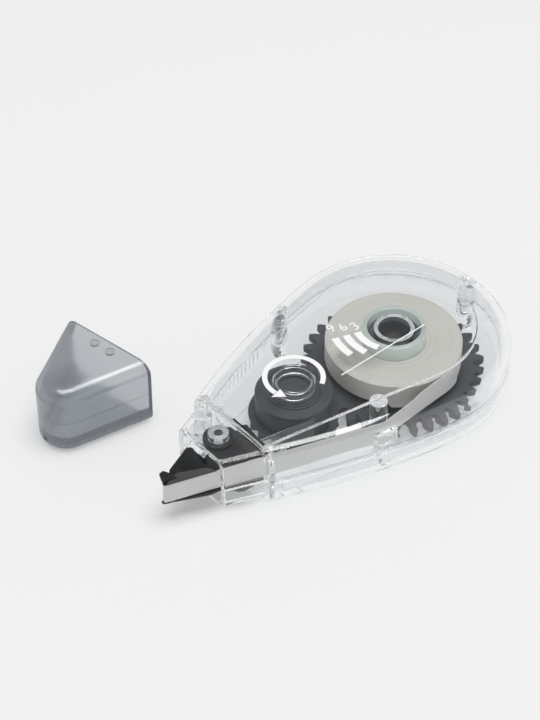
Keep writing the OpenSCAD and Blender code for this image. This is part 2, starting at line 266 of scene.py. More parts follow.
def solid(name: str, grid: np.ndarray, loop: bool = False) -> Piece:
    """Closed mesh over a grid of rings, in millimetres.

    Neighbouring rows are joined by four-sided faces. The end rows get flat faces, or with loop the last row
    joins the first.

    Args:
        name: Name of the object.
        grid: Points, one row for each ring.
        loop: Whether the rows close on themselves.

    Returns:
        The object, linked to the scene.
    """
    rows, columns = grid.shape[:2]
    index = np.arange(rows * columns).reshape(rows, columns)
    low = index if loop else index[:-1]
    high = np.roll(index, -1, axis=0) if loop else index[1:]
    quads = np.stack([low, np.roll(low, -1, axis=1), np.roll(high, -1, axis=1), high], axis=-1)
    faces = quads.reshape(-1, 4).tolist()
    if not loop:
        faces += [index[0, ::-1].tolist(), index[-1].tolist()]
    mesh = bpy.data.meshes.new(name)
    mesh.from_pydata(grid.reshape(-1, 3) * MM, [], faces)
    piece = linked(name, mesh)
    face_outwards(piece)
    return piece


def face_outwards(piece: Piece) -> None:
    """Merges doubled points of a closed mesh and turns its faces outwards.

    Args:
        piece: Object whose mesh is changed.
    """
    work = bmesh.new()
    work.from_mesh(piece.data)
    bmesh.ops.remove_doubles(work, verts=work.verts, dist=WELD * MM)
    bmesh.ops.dissolve_degenerate(work, edges=work.edges, dist=SLIVER * MM)
    bmesh.ops.recalc_face_normals(work, faces=work.faces)
    work.to_mesh(piece.data)
    work.free()


def bar(centre: Sequence[float], radius: float, low: float, high: float, edge: float, steps: int = 64,
        corner: int = 4) -> Piece:
    """Round bar for a post, pin, pad or bore, with the steps round it and over each of its rounded corners."""
    return solid("bar", revolve(disc_profile(radius, low, high, edge, corner), centre, steps))


def combine(base: Piece, tools: Sequence[Piece], how: Cut) -> Piece:
    """Joins or removes tool solids, which are used up.

    Args:
        base: Solid that is changed.
        tools: Solids that act on it, in order.
        how: What they do.

    Returns:
        The base.
    """
    for tool in tools:
        change = base.modifiers.new("solid", "BOOLEAN")
        change.operation = how.value
        change.solver = "MANIFOLD"
        change.object = tool
        made = base.evaluated_get(bpy.context.evaluated_depsgraph_get())
        mesh = bpy.data.meshes.new_from_object(made)
        base.modifiers.clear()
        old, base.data = base.data, mesh
        bpy.data.meshes.remove(old)
        bpy.data.objects.remove(tool)
    return base


def merge(name: str, pieces: Sequence[Piece]) -> Piece:
    """Puts separate meshes together as one object.

    Args:
        name: Name of the new object.
        pieces: Objects that are used up.

    Returns:
        The new object.
    """
    work = bmesh.new()
    for piece in pieces:
        work.from_mesh(piece.data)
        bpy.data.objects.remove(piece)
    mesh = bpy.data.meshes.new(name)
    work.to_mesh(mesh)
    work.free()
    return linked(name, mesh)


def smooth(piece: Piece) -> Piece:
    """Shades a mesh smooth, with its sharp edges kept and its flat faces flat.

    Args:
        piece: The finished piece.

    Returns:
        The same piece.
    """
    face_outwards(piece)
    piece.data.shade_smooth()
    piece.data.set_sharp_from_angle(angle=np.radians(SHARP))
    weigh = piece.modifiers.new("flat faces", "WEIGHTED_NORMAL")
    weigh.keep_sharp = True
    return piece


def seat(piece: Piece, body: Body, material: Material, slot: Slot | None, *nodes: str) -> None:
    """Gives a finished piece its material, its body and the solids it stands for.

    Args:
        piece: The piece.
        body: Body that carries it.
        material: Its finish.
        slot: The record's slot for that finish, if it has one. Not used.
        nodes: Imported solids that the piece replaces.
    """
    piece.data.materials.clear()
    piece.data.materials.append(material)
    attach(piece, body.value)
    if nodes:
        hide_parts(*nodes)
    LOG.info("%s: %d faces on %s", piece.name, len(piece.data.polygons), body.value)


# Finishes


def linear(hex_colour: str) -> tuple[float, float, float, float]:
    """Linear colour for shader nodes.

    Args:
        hex_colour: An sRGB colour, a hash and six digits.

    Returns:
        Red, green, blue and an alpha of one.
    """
    srgb = np.array([int(hex_colour[k:k + 2], 16) for k in (1, 3, 5)]) / 255
    value = np.where(srgb <= 0.04045, srgb / 12.92, ((srgb + 0.055) / 1.055) ** 2.4)
    return (*value.tolist(), 1.0)


def add_node(tree: Tree, kind: str, inputs: dict[Any, Any] | None = None, **settings: Any) -> Node:
    """Adds a shader node.

    Args:
        tree: Node tree that gets it.
        kind: Last part of Blender's name for it.
        inputs: Constants or linked outputs, by the input's name or number.
        settings: Properties of the node.

    Returns:
        The node.
    """
    node = tree.nodes.new("ShaderNode" + kind)
    for key, value in settings.items():
        setattr(node, key, value)
    for key, value in (inputs or {}).items():
        if isinstance(value, Socket):
            tree.links.new(value, node.inputs[key])
        else:
            node.inputs[key].default_value = value
    return node


def empty_material(name: str) -> Material:
    """Starts a material with an empty node tree.

    Args:
        name: Name of the material.

    Returns:
        The material.
    """
    material = bpy.data.materials.new(name)
    material.use_nodes = True
    material.node_tree.nodes.clear()
    return material


def patterned(name: str) -> tuple[Material, Tree, Socket]:
    """Starts a material that has patterns.

    Args:
        name: Name of the material.

    Returns:
        The material, its node tree, and the place on the piece that the patterns follow.
    """
    material = empty_material(name)
    place = add_node(material.node_tree, "TexCoord").outputs["Object"]
    return material, material.node_tree, place


def lit_through(tree: Tree, body: Node, lamp_tint: str, smoke: str = "") -> None:
    """Ends a clear material: lamps shine straight through it with a tint, and other light meets its body.

    Args:
        tree: Node tree of the material.
        body: Shader that the eye sees.
        lamp_tint: Share of lamp light that one face lets through.
        smoke: Colour that about a millimetre of the material leaves, if it darkens with thickness.
    """
    lamps = add_node(tree, "BsdfTransparent", {"Color": linear(lamp_tint)})
    path = add_node(tree, "LightPath")
    soft = add_node(tree, "Math", {0: path.outputs["Is Shadow Ray"], 1: path.outputs["Is Diffuse Ray"]},
                    operation="MAXIMUM")
    mix = add_node(tree, "MixShader", {0: soft.outputs[0], 1: body.outputs[0], 2: lamps.outputs[0]})
    ends = {"Surface": mix.outputs[0]}
    if smoke:
        ends["Volume"] = add_node(tree, "VolumeAbsorption", {"Color": linear(smoke), "Density": 1 / MM}).outputs[0]
    add_node(tree, "OutputMaterial", ends)


def opaque(tree: Tree, shades: tuple[str, str], share: Socket, roughness: Any, ior: float, relief: Node,
           depth_mm: float) -> None:
    """Ends an opaque material: two shades that mix over the surface, and a fine relief.

    Args:
        tree: Node tree of the material.
        shades: Its dark and its pale colour.
        share: How much of the pale one shows.
        roughness: Number or linked output.
        ior: Index of refraction.
        relief: Noise whose value is the height.
        depth_mm: Depth of the relief in millimetres.
    """
    # The mix node's colours are its inputs 6 and 7 and its output 2
    colour = add_node(tree, "Mix", {0: share, 6: linear(shades[0]), 7: linear(shades[1])}, data_type="RGBA")
    bump = add_node(tree, "Bump", {"Height": relief.outputs["Fac"], "Distance": depth_mm * MM})
    surface = add_node(tree, "BsdfPrincipled", {
        "Base Color": colour.outputs[2],
        "Roughness": roughness,
        "IOR": ior,
        "Normal": bump.outputs["Normal"],
    })
    add_node(tree, "OutputMaterial", {"Surface": surface.outputs[0]})


@dataclass(frozen=True)
class ClearMoulding:
    """Polystyrene moulded in polished tools: glass clear, with faint flow waves under a hard gloss."""

    name: str
    tint: str
    lamp_tint: str
    ior: float = 1.57
    roughness: float = 0.0
    flow_mm: float = 9.0
    flow_depth_mm: float = 0.005

    def material(self) -> Material:
        """Glass that bends what is seen through it, and lets lamps light what it encloses."""
        material, tree, place = patterned(self.name)
        flow = add_node(tree, "TexNoise", {"Vector": place, "Scale": 1 / (self.flow_mm * MM), "Detail": 1.0})
        wave = add_node(tree, "Bump", {"Height": flow.outputs["Fac"], "Distance": self.flow_depth_mm * MM})
        glass = add_node(tree, "BsdfPrincipled", {
            "Base Color": linear(self.tint),
            "Roughness": self.roughness,
            "IOR": self.ior,
            "Transmission Weight": 1.0,
            "Normal": wave.outputs["Normal"],
        })
        lit_through(tree, glass, self.lamp_tint)
        return material


@dataclass(frozen=True)
class HazyMoulding:
    """Tinted polystyrene whose inside is finely blasted: it blurs what lies behind, and its outside keeps a gloss."""

    name: str
    tint: str
    lamp_tint: str
    haze: float
    milk: float
    cloud_mm: float = 5.0
    ior: float = 1.57
    gloss: float = 0.03
    coat: float = 1.0
    specular: float = 0.5
    smoke: str = ""
    uneven: float = 0.15

    def material(self) -> Material:
        """Rough glass with a little milk in it, under a thin clear coat where the outside is polished."""
        material, tree, place = patterned(self.name)
        cloud = add_node(tree, "TexNoise", {"Vector": place, "Scale": 1 / (self.cloud_mm * MM), "Detail": 2.0})
        haze = add_node(tree, "MapRange", {"Value": cloud.outputs["Fac"], **NOISE_SPAN,
                                           "To Min": self.haze * (1 - self.uneven),
                                           "To Max": self.haze * (1 + self.uneven)})
        body = add_node(tree, "BsdfPrincipled", {
            "Base Color": linear(self.tint),
            "Roughness": haze.outputs[0],
            "IOR": self.ior,
            "Transmission Weight": 1 - self.milk,
            "Specular IOR Level": self.specular,
            "Coat Weight": self.coat,
            "Coat Roughness": self.gloss,
        })
        lit_through(tree, body, self.lamp_tint, self.smoke)
        return material


@dataclass(frozen=True)
class BlackMoulding:
    """Black plastic off a fine-eroded tool: dark, with a satin, slightly uneven sheen."""

    name: str = "black_acetal_moulded"
    dark: str = "#101215"
    light: str = "#191b1f"
    # Coarser than the real grain, which is too fine to show
    grain_mm: float = 0.35
    cloud_mm: float = 6.0
    roughness: tuple[float, float] = (0.34, 0.5)
    grain_depth_mm: float = 0.006
    ior: float = 1.48

    def material(self) -> Material:
        """Satin plastic whose grain and sheen vary a little over the surface."""
        material, tree, place = patterned(self.name)
        grain = add_node(tree, "TexNoise", {"Vector": place, "Scale": 1 / (self.grain_mm * MM), "Detail": 3.0})
        cloud = add_node(tree, "TexNoise", {"Vector": place, "Scale": 1 / (self.cloud_mm * MM), "Detail": 4.0})
        sheen = add_node(tree, "MapRange", {"Value": cloud.outputs["Fac"], **NOISE_SPAN,
                                            "To Min": self.roughness[0], "To Max": self.roughness[1]})
        opaque(tree, (self.dark, self.light), cloud.outputs["Fac"], sheen.outputs[0], self.ior, grain,
               self.grain_depth_mm)
        return material


@dataclass(frozen=True)
class WoundFilm:
    """Coated film wound on edge: its turns show as fine rings round the reel, each a little lighter or darker."""

    name: str
    pale: str
    dark: str
    centre: tuple[float, float] = (0, 0)
    # Coarser than the real turns of film, which are too thin to show
    ring_mm: float = 0.55
    roughness: float = 0.5
    ring_depth_mm: float = 0.02
    ior: float = 1.46
    ring_share: float = 0.75
    broad_mm: float = 12.0

    def material(self) -> Material:
        """Rings of noise along the distance from the reel's axis."""
        material, tree, place = patterned(self.name)
        about = add_node(tree, "VectorMath", {0: place, 1: (self.centre[0] * MM, self.centre[1] * MM, 0)},
                         operation="SUBTRACT")
        flat = add_node(tree, "VectorMath", {0: about.outputs[0], 1: (1, 1, 0)}, operation="MULTIPLY")
        distance = add_node(tree, "VectorMath", {0: flat.outputs[0]}, operation="LENGTH")
        rings = add_node(tree, "TexNoise", {"W": distance.outputs["Value"], "Scale": 1 / (self.ring_mm * MM),
                                            "Detail": 3.0, "Roughness": 0.6}, noise_dimensions="1D")
        broad = add_node(tree, "TexNoise", {"Vector": place, "Scale": 1 / (self.broad_mm * MM), "Detail": 1.0})
        fine = add_node(tree, "Math", {0: rings.outputs["Fac"], 1: self.ring_share}, operation="MULTIPLY")
        share = add_node(tree, "Math", {0: broad.outputs["Fac"], 1: 1 - self.ring_share, 2: fine.outputs[0]},
                         operation="MULTIPLY_ADD")
        opaque(tree, (self.dark, self.pale), share.outputs[0], self.roughness, self.ior, rings, self.ring_depth_mm)
        return material


@dataclass(frozen=True)
class Coating:
    """Dry coating or ink: an even matt colour with a fine tooth."""

    name: str
    pale: str
    dark: str
    # Coarser than the real tooth, which is too fine to show
    tooth_mm: float = 0.4
    roughness: float = 0.55
    tooth_depth_mm: float = 0.004
    ior: float = 1.46

    def material(self) -> Material:
        """Two near colours mixed by a fine noise that also gives the tooth."""
        material, tree, place = patterned(self.name)
        tooth = add_node(tree, "TexNoise", {"Vector": place, "Scale": 1 / (self.tooth_mm * MM), "Detail": 4.0})
        opaque(tree, (self.dark, self.pale), tooth.outputs["Fac"], self.roughness, self.ior, tooth, self.tooth_depth_mm)
        return material


# Sub-assemblies


@dataclass
class CaseForm:
    """Outlines of the teardrop case: a round back, two long side arcs and a straight collar."""

    back_r: float = 25.4
    height: float = 17.0
    wall: float = 1.3
    rim_fillet: float = 5.0
    rim_power: float = 2.6
    rim_steps: int = 24
    panel_rise: float = 0.5
    panel_r: float = 18.0
    panel_half: float = 9.8
    collar_reach: float = 45.9
    collar_half: float = 12.3
    collar_wall: float = 1.7
    side_tangent: float = 100.0
    nose_l: float = 8.0
    nose_half: float = 7.5
    nose_step: float = 1.55
    nose_round: float = 2.6
    edge: float = 0.4
    groove: float = 0.35
    groove_h: float = 1.3
    seam_press: float = 0.03
    lip_h: float = 0.5
    panel_edge: tuple[float, float] = (0.5, 0.45)
    panel_root: float = 0.4
    lip_points: int = 9
    side_points: int = 40
    back_points: int = 132
    corner_steps: int = 6
    panel_points: int = 140
    panel_steps: int = 8
    nose_points: int = 13
    edge_steps: int = 5

    @property
    def seam(self) -> float:
        """Height of the plane where the halves meet."""
        return self.height / 2

    @property
    def half_top(self) -> float:
        """Height where the lower half ends, a hair over the seam: the halves press together and light passes on."""
        return self.seam + self.seam_press / 2

    def lip_curve(self, depth: float) -> np.ndarray:
        """Rounded edge of the rebate: a quarter ellipse from the wall to the step at the seam.

        Args:
            depth: Depth of the step.

        Returns:
            Points of inset and height.
        """
        t = np.linspace(0, np.pi / 2, self.lip_points)
        start = self.seam - self.groove_h / 2 - self.lip_h
        return np.stack([depth * (1 - np.cos(t)), start + self.lip_h * np.sin(t)], axis=1)

    @property
    def nose_front(self) -> float:
        """Where the open front of the nose is."""
        return -self.collar_reach - self.nose_l

    def outline(self, inset: float, front: float, corner: float) -> np.ndarray:
        """Plan of the case set in by a distance, counter-clockwise from the near front corner.

        Each side is an arc tangent to the back circle at side_tangent, through the collar's end. The front
        corners are rounded by a curve.

        Args:
            inset: Distance from the outside.
            front: Where the straight front lies.
            corner: Size of the rounding at the front corners.

        Returns:
            Plan points.
        """
        end = np.array([-self.collar_reach, self.collar_half])
        towards = unit(self.side_tangent)
        extra = (end @ end - self.back_r ** 2) / (2 * (self.back_r - end @ towards))
        centre = -extra * towards
        side_r = self.back_r + extra - inset
        last = np.degrees(np.arccos((front - centre[0]) / side_r))
        tip = centre + side_r * unit(last)
        start = last - np.degrees(corner / side_r)
        side = centre + side_r * unit(np.linspace(self.side_tangent, start, self.side_points))
        turn = bezier(side[-1], tip, tip - np.array([0, corner]), self.corner_steps)[1:]
        far = np.concatenate([side, turn])
        near = far[::-1] * ACROSS
        turns = np.linspace(-self.side_tangent, self.side_tangent, self.back_points)[1:-1]
        back = (self.back_r - inset) * unit(turns)
        return np.concatenate([near, back, far])

    def half_outside(self) -> np.ndarray:
        """Grid of the outside of the lower half, from the flat bottom to the rebate at the seam."""
        inset, rise = quarter(self.rim_fillet, self.rim_steps, self.rim_power)
        low = self.panel_rise
        lip = self.seam - self.groove_h / 2
        levels = np.concatenate([np.stack([inset, low + rise], axis=1), self.lip_curve(self.groove),
                                 [[self.groove, self.half_top]]])
        near_edge = np.clip(self.edge - (levels[:, 1] - low), 0, None)
        rounded = self.edge - np.sqrt(self.edge ** 2 - near_edge ** 2)
        fronts = np.maximum(rounded, np.where(levels[:, 1] > lip - 2 * self.lip_h, levels[:, 0], 0))
        rings = [(self.outline(i, f - self.collar_reach, self.edge), z) for (i, z), f in zip(levels, fronts)]
        return stack(rings)

    def half_inside(self) -> np.ndarray:
        """Grid of the room inside the lower half, run past the seam."""
        inset, rise = quarter(self.rim_fillet - self.wall, self.rim_steps, self.rim_power)
        low = self.panel_rise + self.wall
        front = self.collar_wall - self.collar_reach
        rings = [(self.outline(self.wall + i, front, self.edge), low + r) for i, r in zip(inset, rise)]
        rings.append((self.outline(self.wall, front, self.edge), self.seam + PAST))
        return stack(rings)

    def panel_outline(self, inset: float) -> np.ndarray:
        """Plan of the flat panel: an arc round the supply axis and its two tangents to the collar.

        Args:
            inset: Distance from the panel's edge.

        Returns:
            Plan points, counter-clockwise.
        """
        radius = self.panel_r - inset
        end = np.array([self.edge + inset - self.collar_reach, self.panel_half - inset])
        angle = np.degrees(np.arctan2(end[1], end[0]) - np.arccos(radius / np.linalg.norm(end)))
        arc = radius * unit(np.linspace(-angle, angle, self.panel_points))
        return np.concatenate([[end * ACROSS], arc, [end]])

    def panel(self) -> np.ndarray:
        """Grid of the lower panel, from its broad rounded edge on the table to inside the wall."""
        inset, rise = quarter(1, self.panel_steps)
        rings = [(self.panel_outline(i * self.panel_edge[0]), r * self.panel_edge[1]) for i, r in zip(inset, rise)]
        rings.append((self.panel_outline(0), self.panel_rise + self.panel_root))
        return stack(rings)

    def nose_section(self, x: float, inset: float, rebate: float, top: float) -> np.ndarray:
        """One section of the lower half of the nose, across X.

        Args:
            x: Where the section is.
            inset: Distance from the outside.
            rebate: Depth of the step at the seam.
            top: Height at which the section ends.

        Returns:
            Points in three dimensions, from the near upper corner round the bottom to the far one.
        """
        taper = (self.collar_half - self.nose_step - self.nose_half) / self.nose_l
        half = self.nose_half + taper * (x - self.nose_front) - inset
        radius = self.nose_round - inset
        low = self.nose_step + inset
        curve = radius * unit(np.linspace(0, -90, self.nose_points)) + np.array([half - radius, low + radius])
        step = np.array([half, 0]) + self.lip_curve(rebate)[::-1] * np.array([-1, 1])
        far = np.concatenate([[[half - rebate, top]], step, curve])
        both = np.concatenate([far, far[::-1] * np.array([-1, 1])])
        return np.concatenate([np.full((len(both), 1), x), both], axis=1)

    def nose_outside(self) -> np.ndarray:
        """Grid of the outside of the lower half of the nose, its front edge rounded."""
        inset, rise = quarter(self.edge, self.edge_steps)
        stations = [(PAST - self.collar_reach, 0.0)]
        stations += [(self.nose_front + r, i) for i, r in zip(inset[::-1], rise[::-1])]
        return np.stack([self.nose_section(x, i, self.groove, self.half_top) for x, i in stations])

    def nose_inside(self) -> np.ndarray:
        """Grid of the passage through the lower half of the nose and the collar wall."""
        ends = (self.collar_wall + PAST - self.collar_reach, self.nose_front - PAST)
        return np.stack([self.nose_section(x, self.wall, 0.0, self.seam + PAST) for x in ends])


@dataclass
class Layout:
    """Places and heights of the reels, and of the posts that pin the halves together."""

    take_up: tuple[float, float] = (-27.39897, 1.5)
    far_post: tuple[float, float] = (-15.2, 20.4)
    back_post: tuple[float, float] = (22.5, 0.7)
    guide_post: tuple[float, float] = (-18.0, -14.6)
    nose_post: tuple[float, float] = (-47.7, 7.0)
    nose_boss: tuple[float, float] = (-48.5, 1.0)
    post_r: float = 1.9
    boss_r: float = 2.2
    pin_r: float = 0.95
    pin_l: float = 3.0
    socket_l: float = 3.5
    fit: float = 0.06
    gear_z: float = 2.8
    gear_t: float = 1.6
    tape_z: float = 6.3
    tape_w: float = 5.0
    core_top: float = 14.9
    hub_top: float = 13.0
    spindle_top: float = 14.7
    flange_z: float = 11.45
    crown_z: float = 13.0
    roll_r: float = 14.9
    ribbon_r: float = 8.2
    film_edge: float = 0.08

    @property
    def pinned(self) -> list[tuple[float, float]]:
        """The four posts that take a pin from above."""
        return [self.far_post, self.back_post, self.guide_post, self.nose_post]

    @property
    def mesh_angle(self) -> float:
        """Angle from the supply axis to the take-up axis, where the gears mesh."""
        return np.degrees(np.arctan2(self.take_up[1], self.take_up[0]))

    def winding(self, inner: float, outer: float) -> np.ndarray:
        """Section of film wound on a drum, a hair off it and with softened edges."""
        return ring_profile(inner + HAIR, outer, self.tape_z, self.tape_z + self.tape_w, self.film_edge, EDGE_STEPS)


@dataclass
class Case:
    """The two clear halves, with their posts, spindles, fins and keeper ring moulded on."""

    form: CaseForm
    layout: Layout
    finish: ClearMoulding
    supply_spindle_r: float = 4.4
    supply_bore_r: float = 3.5
    supply_boss_r: float = 6.2
    take_up_spindle_r: float = 2.4
    take_up_boss_r: float = 5.2
    keeper_r: tuple[float, float] = (3.7, 4.55)
    latch_x: tuple[float, ...] = (-42.6, -38.8)
    latch_l: float = 2.2
    latch_t: float = 0.9
    latch_top: float = 7.0
    latch_gap: float = 0.06
    snap_x: float = -20.7
    snap_l: tuple[float, float] = (2.2, 4.5)
    snap_t: float = 0.8
    snap_z: tuple[float, float] = (3.6, 13.4)
    rib_x: tuple[float, float] = (-42.0, -22.0)
    rib_z: tuple[float, float] = (2.4, 8.2)
    rib_r: float = 0.13
    ribs: int = 14
    rib_steps: tuple[int, int] = (16, 2)
    boss_gap: float = 0.2
    boss_edge: float = 0.2
    spindle_root: float = 0.4
    spindle_edge: tuple[float, float] = (0.15, 0.3)
    spindle_drop: float = 0.5
    keeper_gap: float = 0.3
    keeper_edge: float = 0.4
    keeper_steps: int = 6
    pin_edge: float = 0.2
    snap_gap: float = 0.3
    snap_root: float = 0.5
    snap_edge: float = 0.15

    def half(self, name: str, upper: bool, inside: list[Piece]) -> Piece:
        """One half as a hollow solid.

        Args:
            name: Name of the piece.
            upper: Whether the grids are turned over for the upper half.
            inside: Solids left standing in the room inside.

        Returns:
            The half, before its bores.
        """
        flip = np.array([1, 1, -1]) if upper else np.ones(3)
        lift = np.array([0, 0, self.form.height]) if upper else np.zeros(3)
        grids = {
            "outside": self.form.half_outside(),
            "panel": self.form.panel(),
            "nose": self.form.nose_outside(),
            "room": self.form.half_inside(),
            "passage": self.form.nose_inside(),
        }
        parts = {key: solid(name if key == "outside" else key, grid * flip + lift) for key, grid in grids.items()}
        combine(parts["outside"], [parts["panel"], parts["nose"]], Cut.JOIN)
        combine(parts["room"], [parts["passage"]], Cut.JOIN)
        combine(parts["room"], inside, Cut.REMOVE)
        return combine(parts["outside"], [parts["room"]], Cut.REMOVE)

    def tube(self, centre: Sequence[float], radii: tuple[float, float], low: float, high: float,
             edge: float) -> Piece:
        """Tube with rounded ends, for the spindle and the keeper ring."""
        return solid("tube", revolve(ring_profile(*radii, low, high, edge, self.keeper_steps), centre), loop=True)

    def inner_wall(self, x: np.ndarray | float) -> np.ndarray:
        """How far the inner face of the far wall lies from the middle of the case.

        Args:
            x: Places along the case.

        Returns:
            The distance at each place.
        """
        outline = self.form.outline(self.form.wall, self.form.collar_wall - self.form.collar_reach, self.form.edge)
        far = outline[outline[:, 1] > self.form.collar_half / 2][::-1]
        return np.interp(x, far[:, 0], far[:, 1])

    def fins(self) -> list[Piece]:
        """Low fins inside the near and the far wall behind the collar."""
        made = []
        for x in self.latch_x:
            end = float(self.inner_wall(x - self.latch_t / 2)) - self.latch_gap
            far = np.array([[x - self.latch_t / 2, end - self.latch_l], [x + self.latch_t / 2, end - self.latch_l],
                            [x + self.latch_t / 2, end], [x - self.latch_t / 2, end]])
            for outline in (far, far[::-1] * ACROSS):
                made.append(solid("fin", extrude(outline, self.form.panel_rise, self.latch_top, SOFT)))
        return made

    def snap(self, length: float, low: float, high: float) -> Piece:
        """Tab inside the near wall that holds the halves together: a short plate along the wall.

        Args:
            length: Its length along the case.
            low: Height of its lower end.
            high: Height of its upper end.

        Returns:
            The tab.
        """
        ends = self.snap_x + length * np.array([-0.5, 0.5])
        wall = -self.inner_wall(ends)
        outline = np.array([[ends[0], wall[0] - self.snap_root], [ends[1], wall[1] - self.snap_root],
                            [ends[1], wall[1] + self.snap_t], [ends[0], wall[0] + self.snap_t]])
        return solid("snap", extrude(outline, low, high, self.snap_edge))

    def grip_ribs(self) -> list[Piece]:
        """Fine upright ribs on the inner face of the far wall."""
        places = np.linspace(*self.rib_x, self.ribs)
        walls = self.inner_wall(places)
        return [bar(place, self.rib_r, *self.rib_z, SOFT, *self.rib_steps) for place in zip(places, walls)]

    def posts(self) -> list[Piece]:
        """The pinned posts and the nose boss, right through the case."""
        layout = self.layout
        places = [(p, layout.post_r) for p in layout.pinned] + [(layout.nose_boss, layout.boss_r)]
        return [bar(place, radius, 0, self.form.height, SOFT) for place, radius in places]

    def lower(self) -> Piece:
        """Lower half with sockets in its posts, the two spindles and a pin on the nose boss."""
        form, layout = self.form, self.layout
        root = form.panel_rise + form.wall - self.spindle_root
        inside = self.posts()
        for centre, radius in (((0, 0), self.supply_boss_r), (layout.take_up, self.take_up_boss_r)):
            inside.append(bar(centre, radius, 0, layout.gear_z - self.boss_gap, self.boss_edge))
        inside.append(self.snap(self.snap_l[0], self.snap_z[0], form.seam - self.snap_gap))
        shell = self.half("lower_half", False, inside + self.fins() + self.grip_ribs())
        radii = (self.supply_bore_r, self.supply_spindle_r)
        supply = self.tube((0, 0), radii, root, layout.spindle_top, self.spindle_edge[0])
        end = layout.flange_z - self.spindle_drop
        take_up = bar(layout.take_up, self.take_up_spindle_r, root, end, self.spindle_edge[1])
        pin = bar(layout.nose_boss, layout.pin_r, form.seam - PAST, form.seam + layout.pin_l, self.pin_edge)
        combine(shell, [supply, take_up, pin], Cut.JOIN)
        sockets = [bar(p, layout.pin_r + layout.fit, form.seam - layout.socket_l, form.seam + PAST, SOFT)
                   for p in layout.pinned]
        return combine(shell, sockets, Cut.REMOVE)

    def upper(self) -> Piece:
        """Upper half with pins under its posts, a bored nose boss and the ring over the take-up reel."""
        form, layout = self.form, self.layout
        inside = self.posts()
        keeper_low = layout.crown_z + self.keeper_gap
        inside.append(self.tube(layout.take_up, self.keeper_r, keeper_low, form.height, self.keeper_edge))
        inside.append(self.snap(self.snap_l[1], form.seam + self.snap_gap, self.snap_z[1]))
        shell = self.half("upper_half", True, inside)
        bore_end = form.height - form.nose_step - form.wall
        bore = bar(layout.nose_boss, layout.pin_r + layout.fit, form.seam - PAST, bore_end, SOFT)
        combine(shell, [bore], Cut.REMOVE)
        pins = [bar(p, layout.pin_r, form.seam - layout.pin_l, form.seam + PAST, self.pin_edge) for p in layout.pinned]
        return combine(shell, pins, Cut.JOIN)

    def build(self) -> None:
        """Makes both halves and dresses them."""
        material = self.finish.material()
        seat(smooth(self.lower()), Body.CASE, material, Slot.CASE, "lower_shell")
        seat(smooth(self.upper()), Body.CASE, material, Slot.CASE, "upper_shell")


@dataclass
class Gear:
    """Involute gear outline with rounded tooth tips."""

    teeth: int
    module: float = 1.12
    pressure: float = 25.0
    backlash: float = 0.2
    addendum: float = 0.95
    dedendum: float = 1.2
    foot_rise: float = 0.1
    foot_spread: float = 1.12
    tip_drop: tuple[float, float] = (0.25, 0.06)
    tip_share: tuple[float, float] = (0.7, 0.3)
    flank_points: int = 8

    @property
    def pitch(self) -> float:
        """Pitch radius."""
        return self.module * self.teeth / 2

    def half_angle(self, radius: np.ndarray) -> np.ndarray:
        """Half the angle that a tooth covers at a radius.

        It is the half angle at the pitch circle plus the involute function of the pressure angle, less that of
        the angle whose cosine is the base radius over the radius.

        Args:
            radius: Distances from the axis.

        Returns:
            The half angle at each, in degrees.
        """
        base = self.pitch * np.cos(np.radians(self.pressure))
        angle = np.arccos(np.clip(base / radius, -1, 1))
        at_pitch = np.radians(self.pressure)
        half = np.pi / 2 / self.teeth - self.backlash / 4 / self.pitch
        return np.degrees(half + np.tan(at_pitch) - at_pitch - np.tan(angle) + angle)

    def outline(self, turn: float) -> np.ndarray:
        """Plan of the gear.

        Args:
            turn: Angle of the middle of one tooth.

        Returns:
            Plan points round the gear's own axis.
        """
        tip = self.pitch + self.addendum * self.module
        root = self.pitch - self.dedendum * self.module
        foot = max(root + self.foot_rise, self.pitch * np.cos(np.radians(self.pressure)))
        flank = np.linspace(foot, tip - self.tip_drop[0], self.flank_points)
        angles = self.half_angle(flank)
        radii = np.concatenate([[root], flank, [tip - self.tip_drop[1], tip]])
        halves = np.concatenate([[angles[0] * self.foot_spread], angles, angles[-1] * np.array(self.tip_share)])
        tooth_r = np.concatenate([radii, radii[::-1]])
        tooth_a = np.concatenate([-halves, halves[::-1]])
        starts = turn + np.arange(self.teeth) * 360 / self.teeth
        angles_all = (starts[:, None] + tooth_a[None]).ravel()
        return np.tile(tooth_r, self.teeth)[:, None] * unit(angles_all)


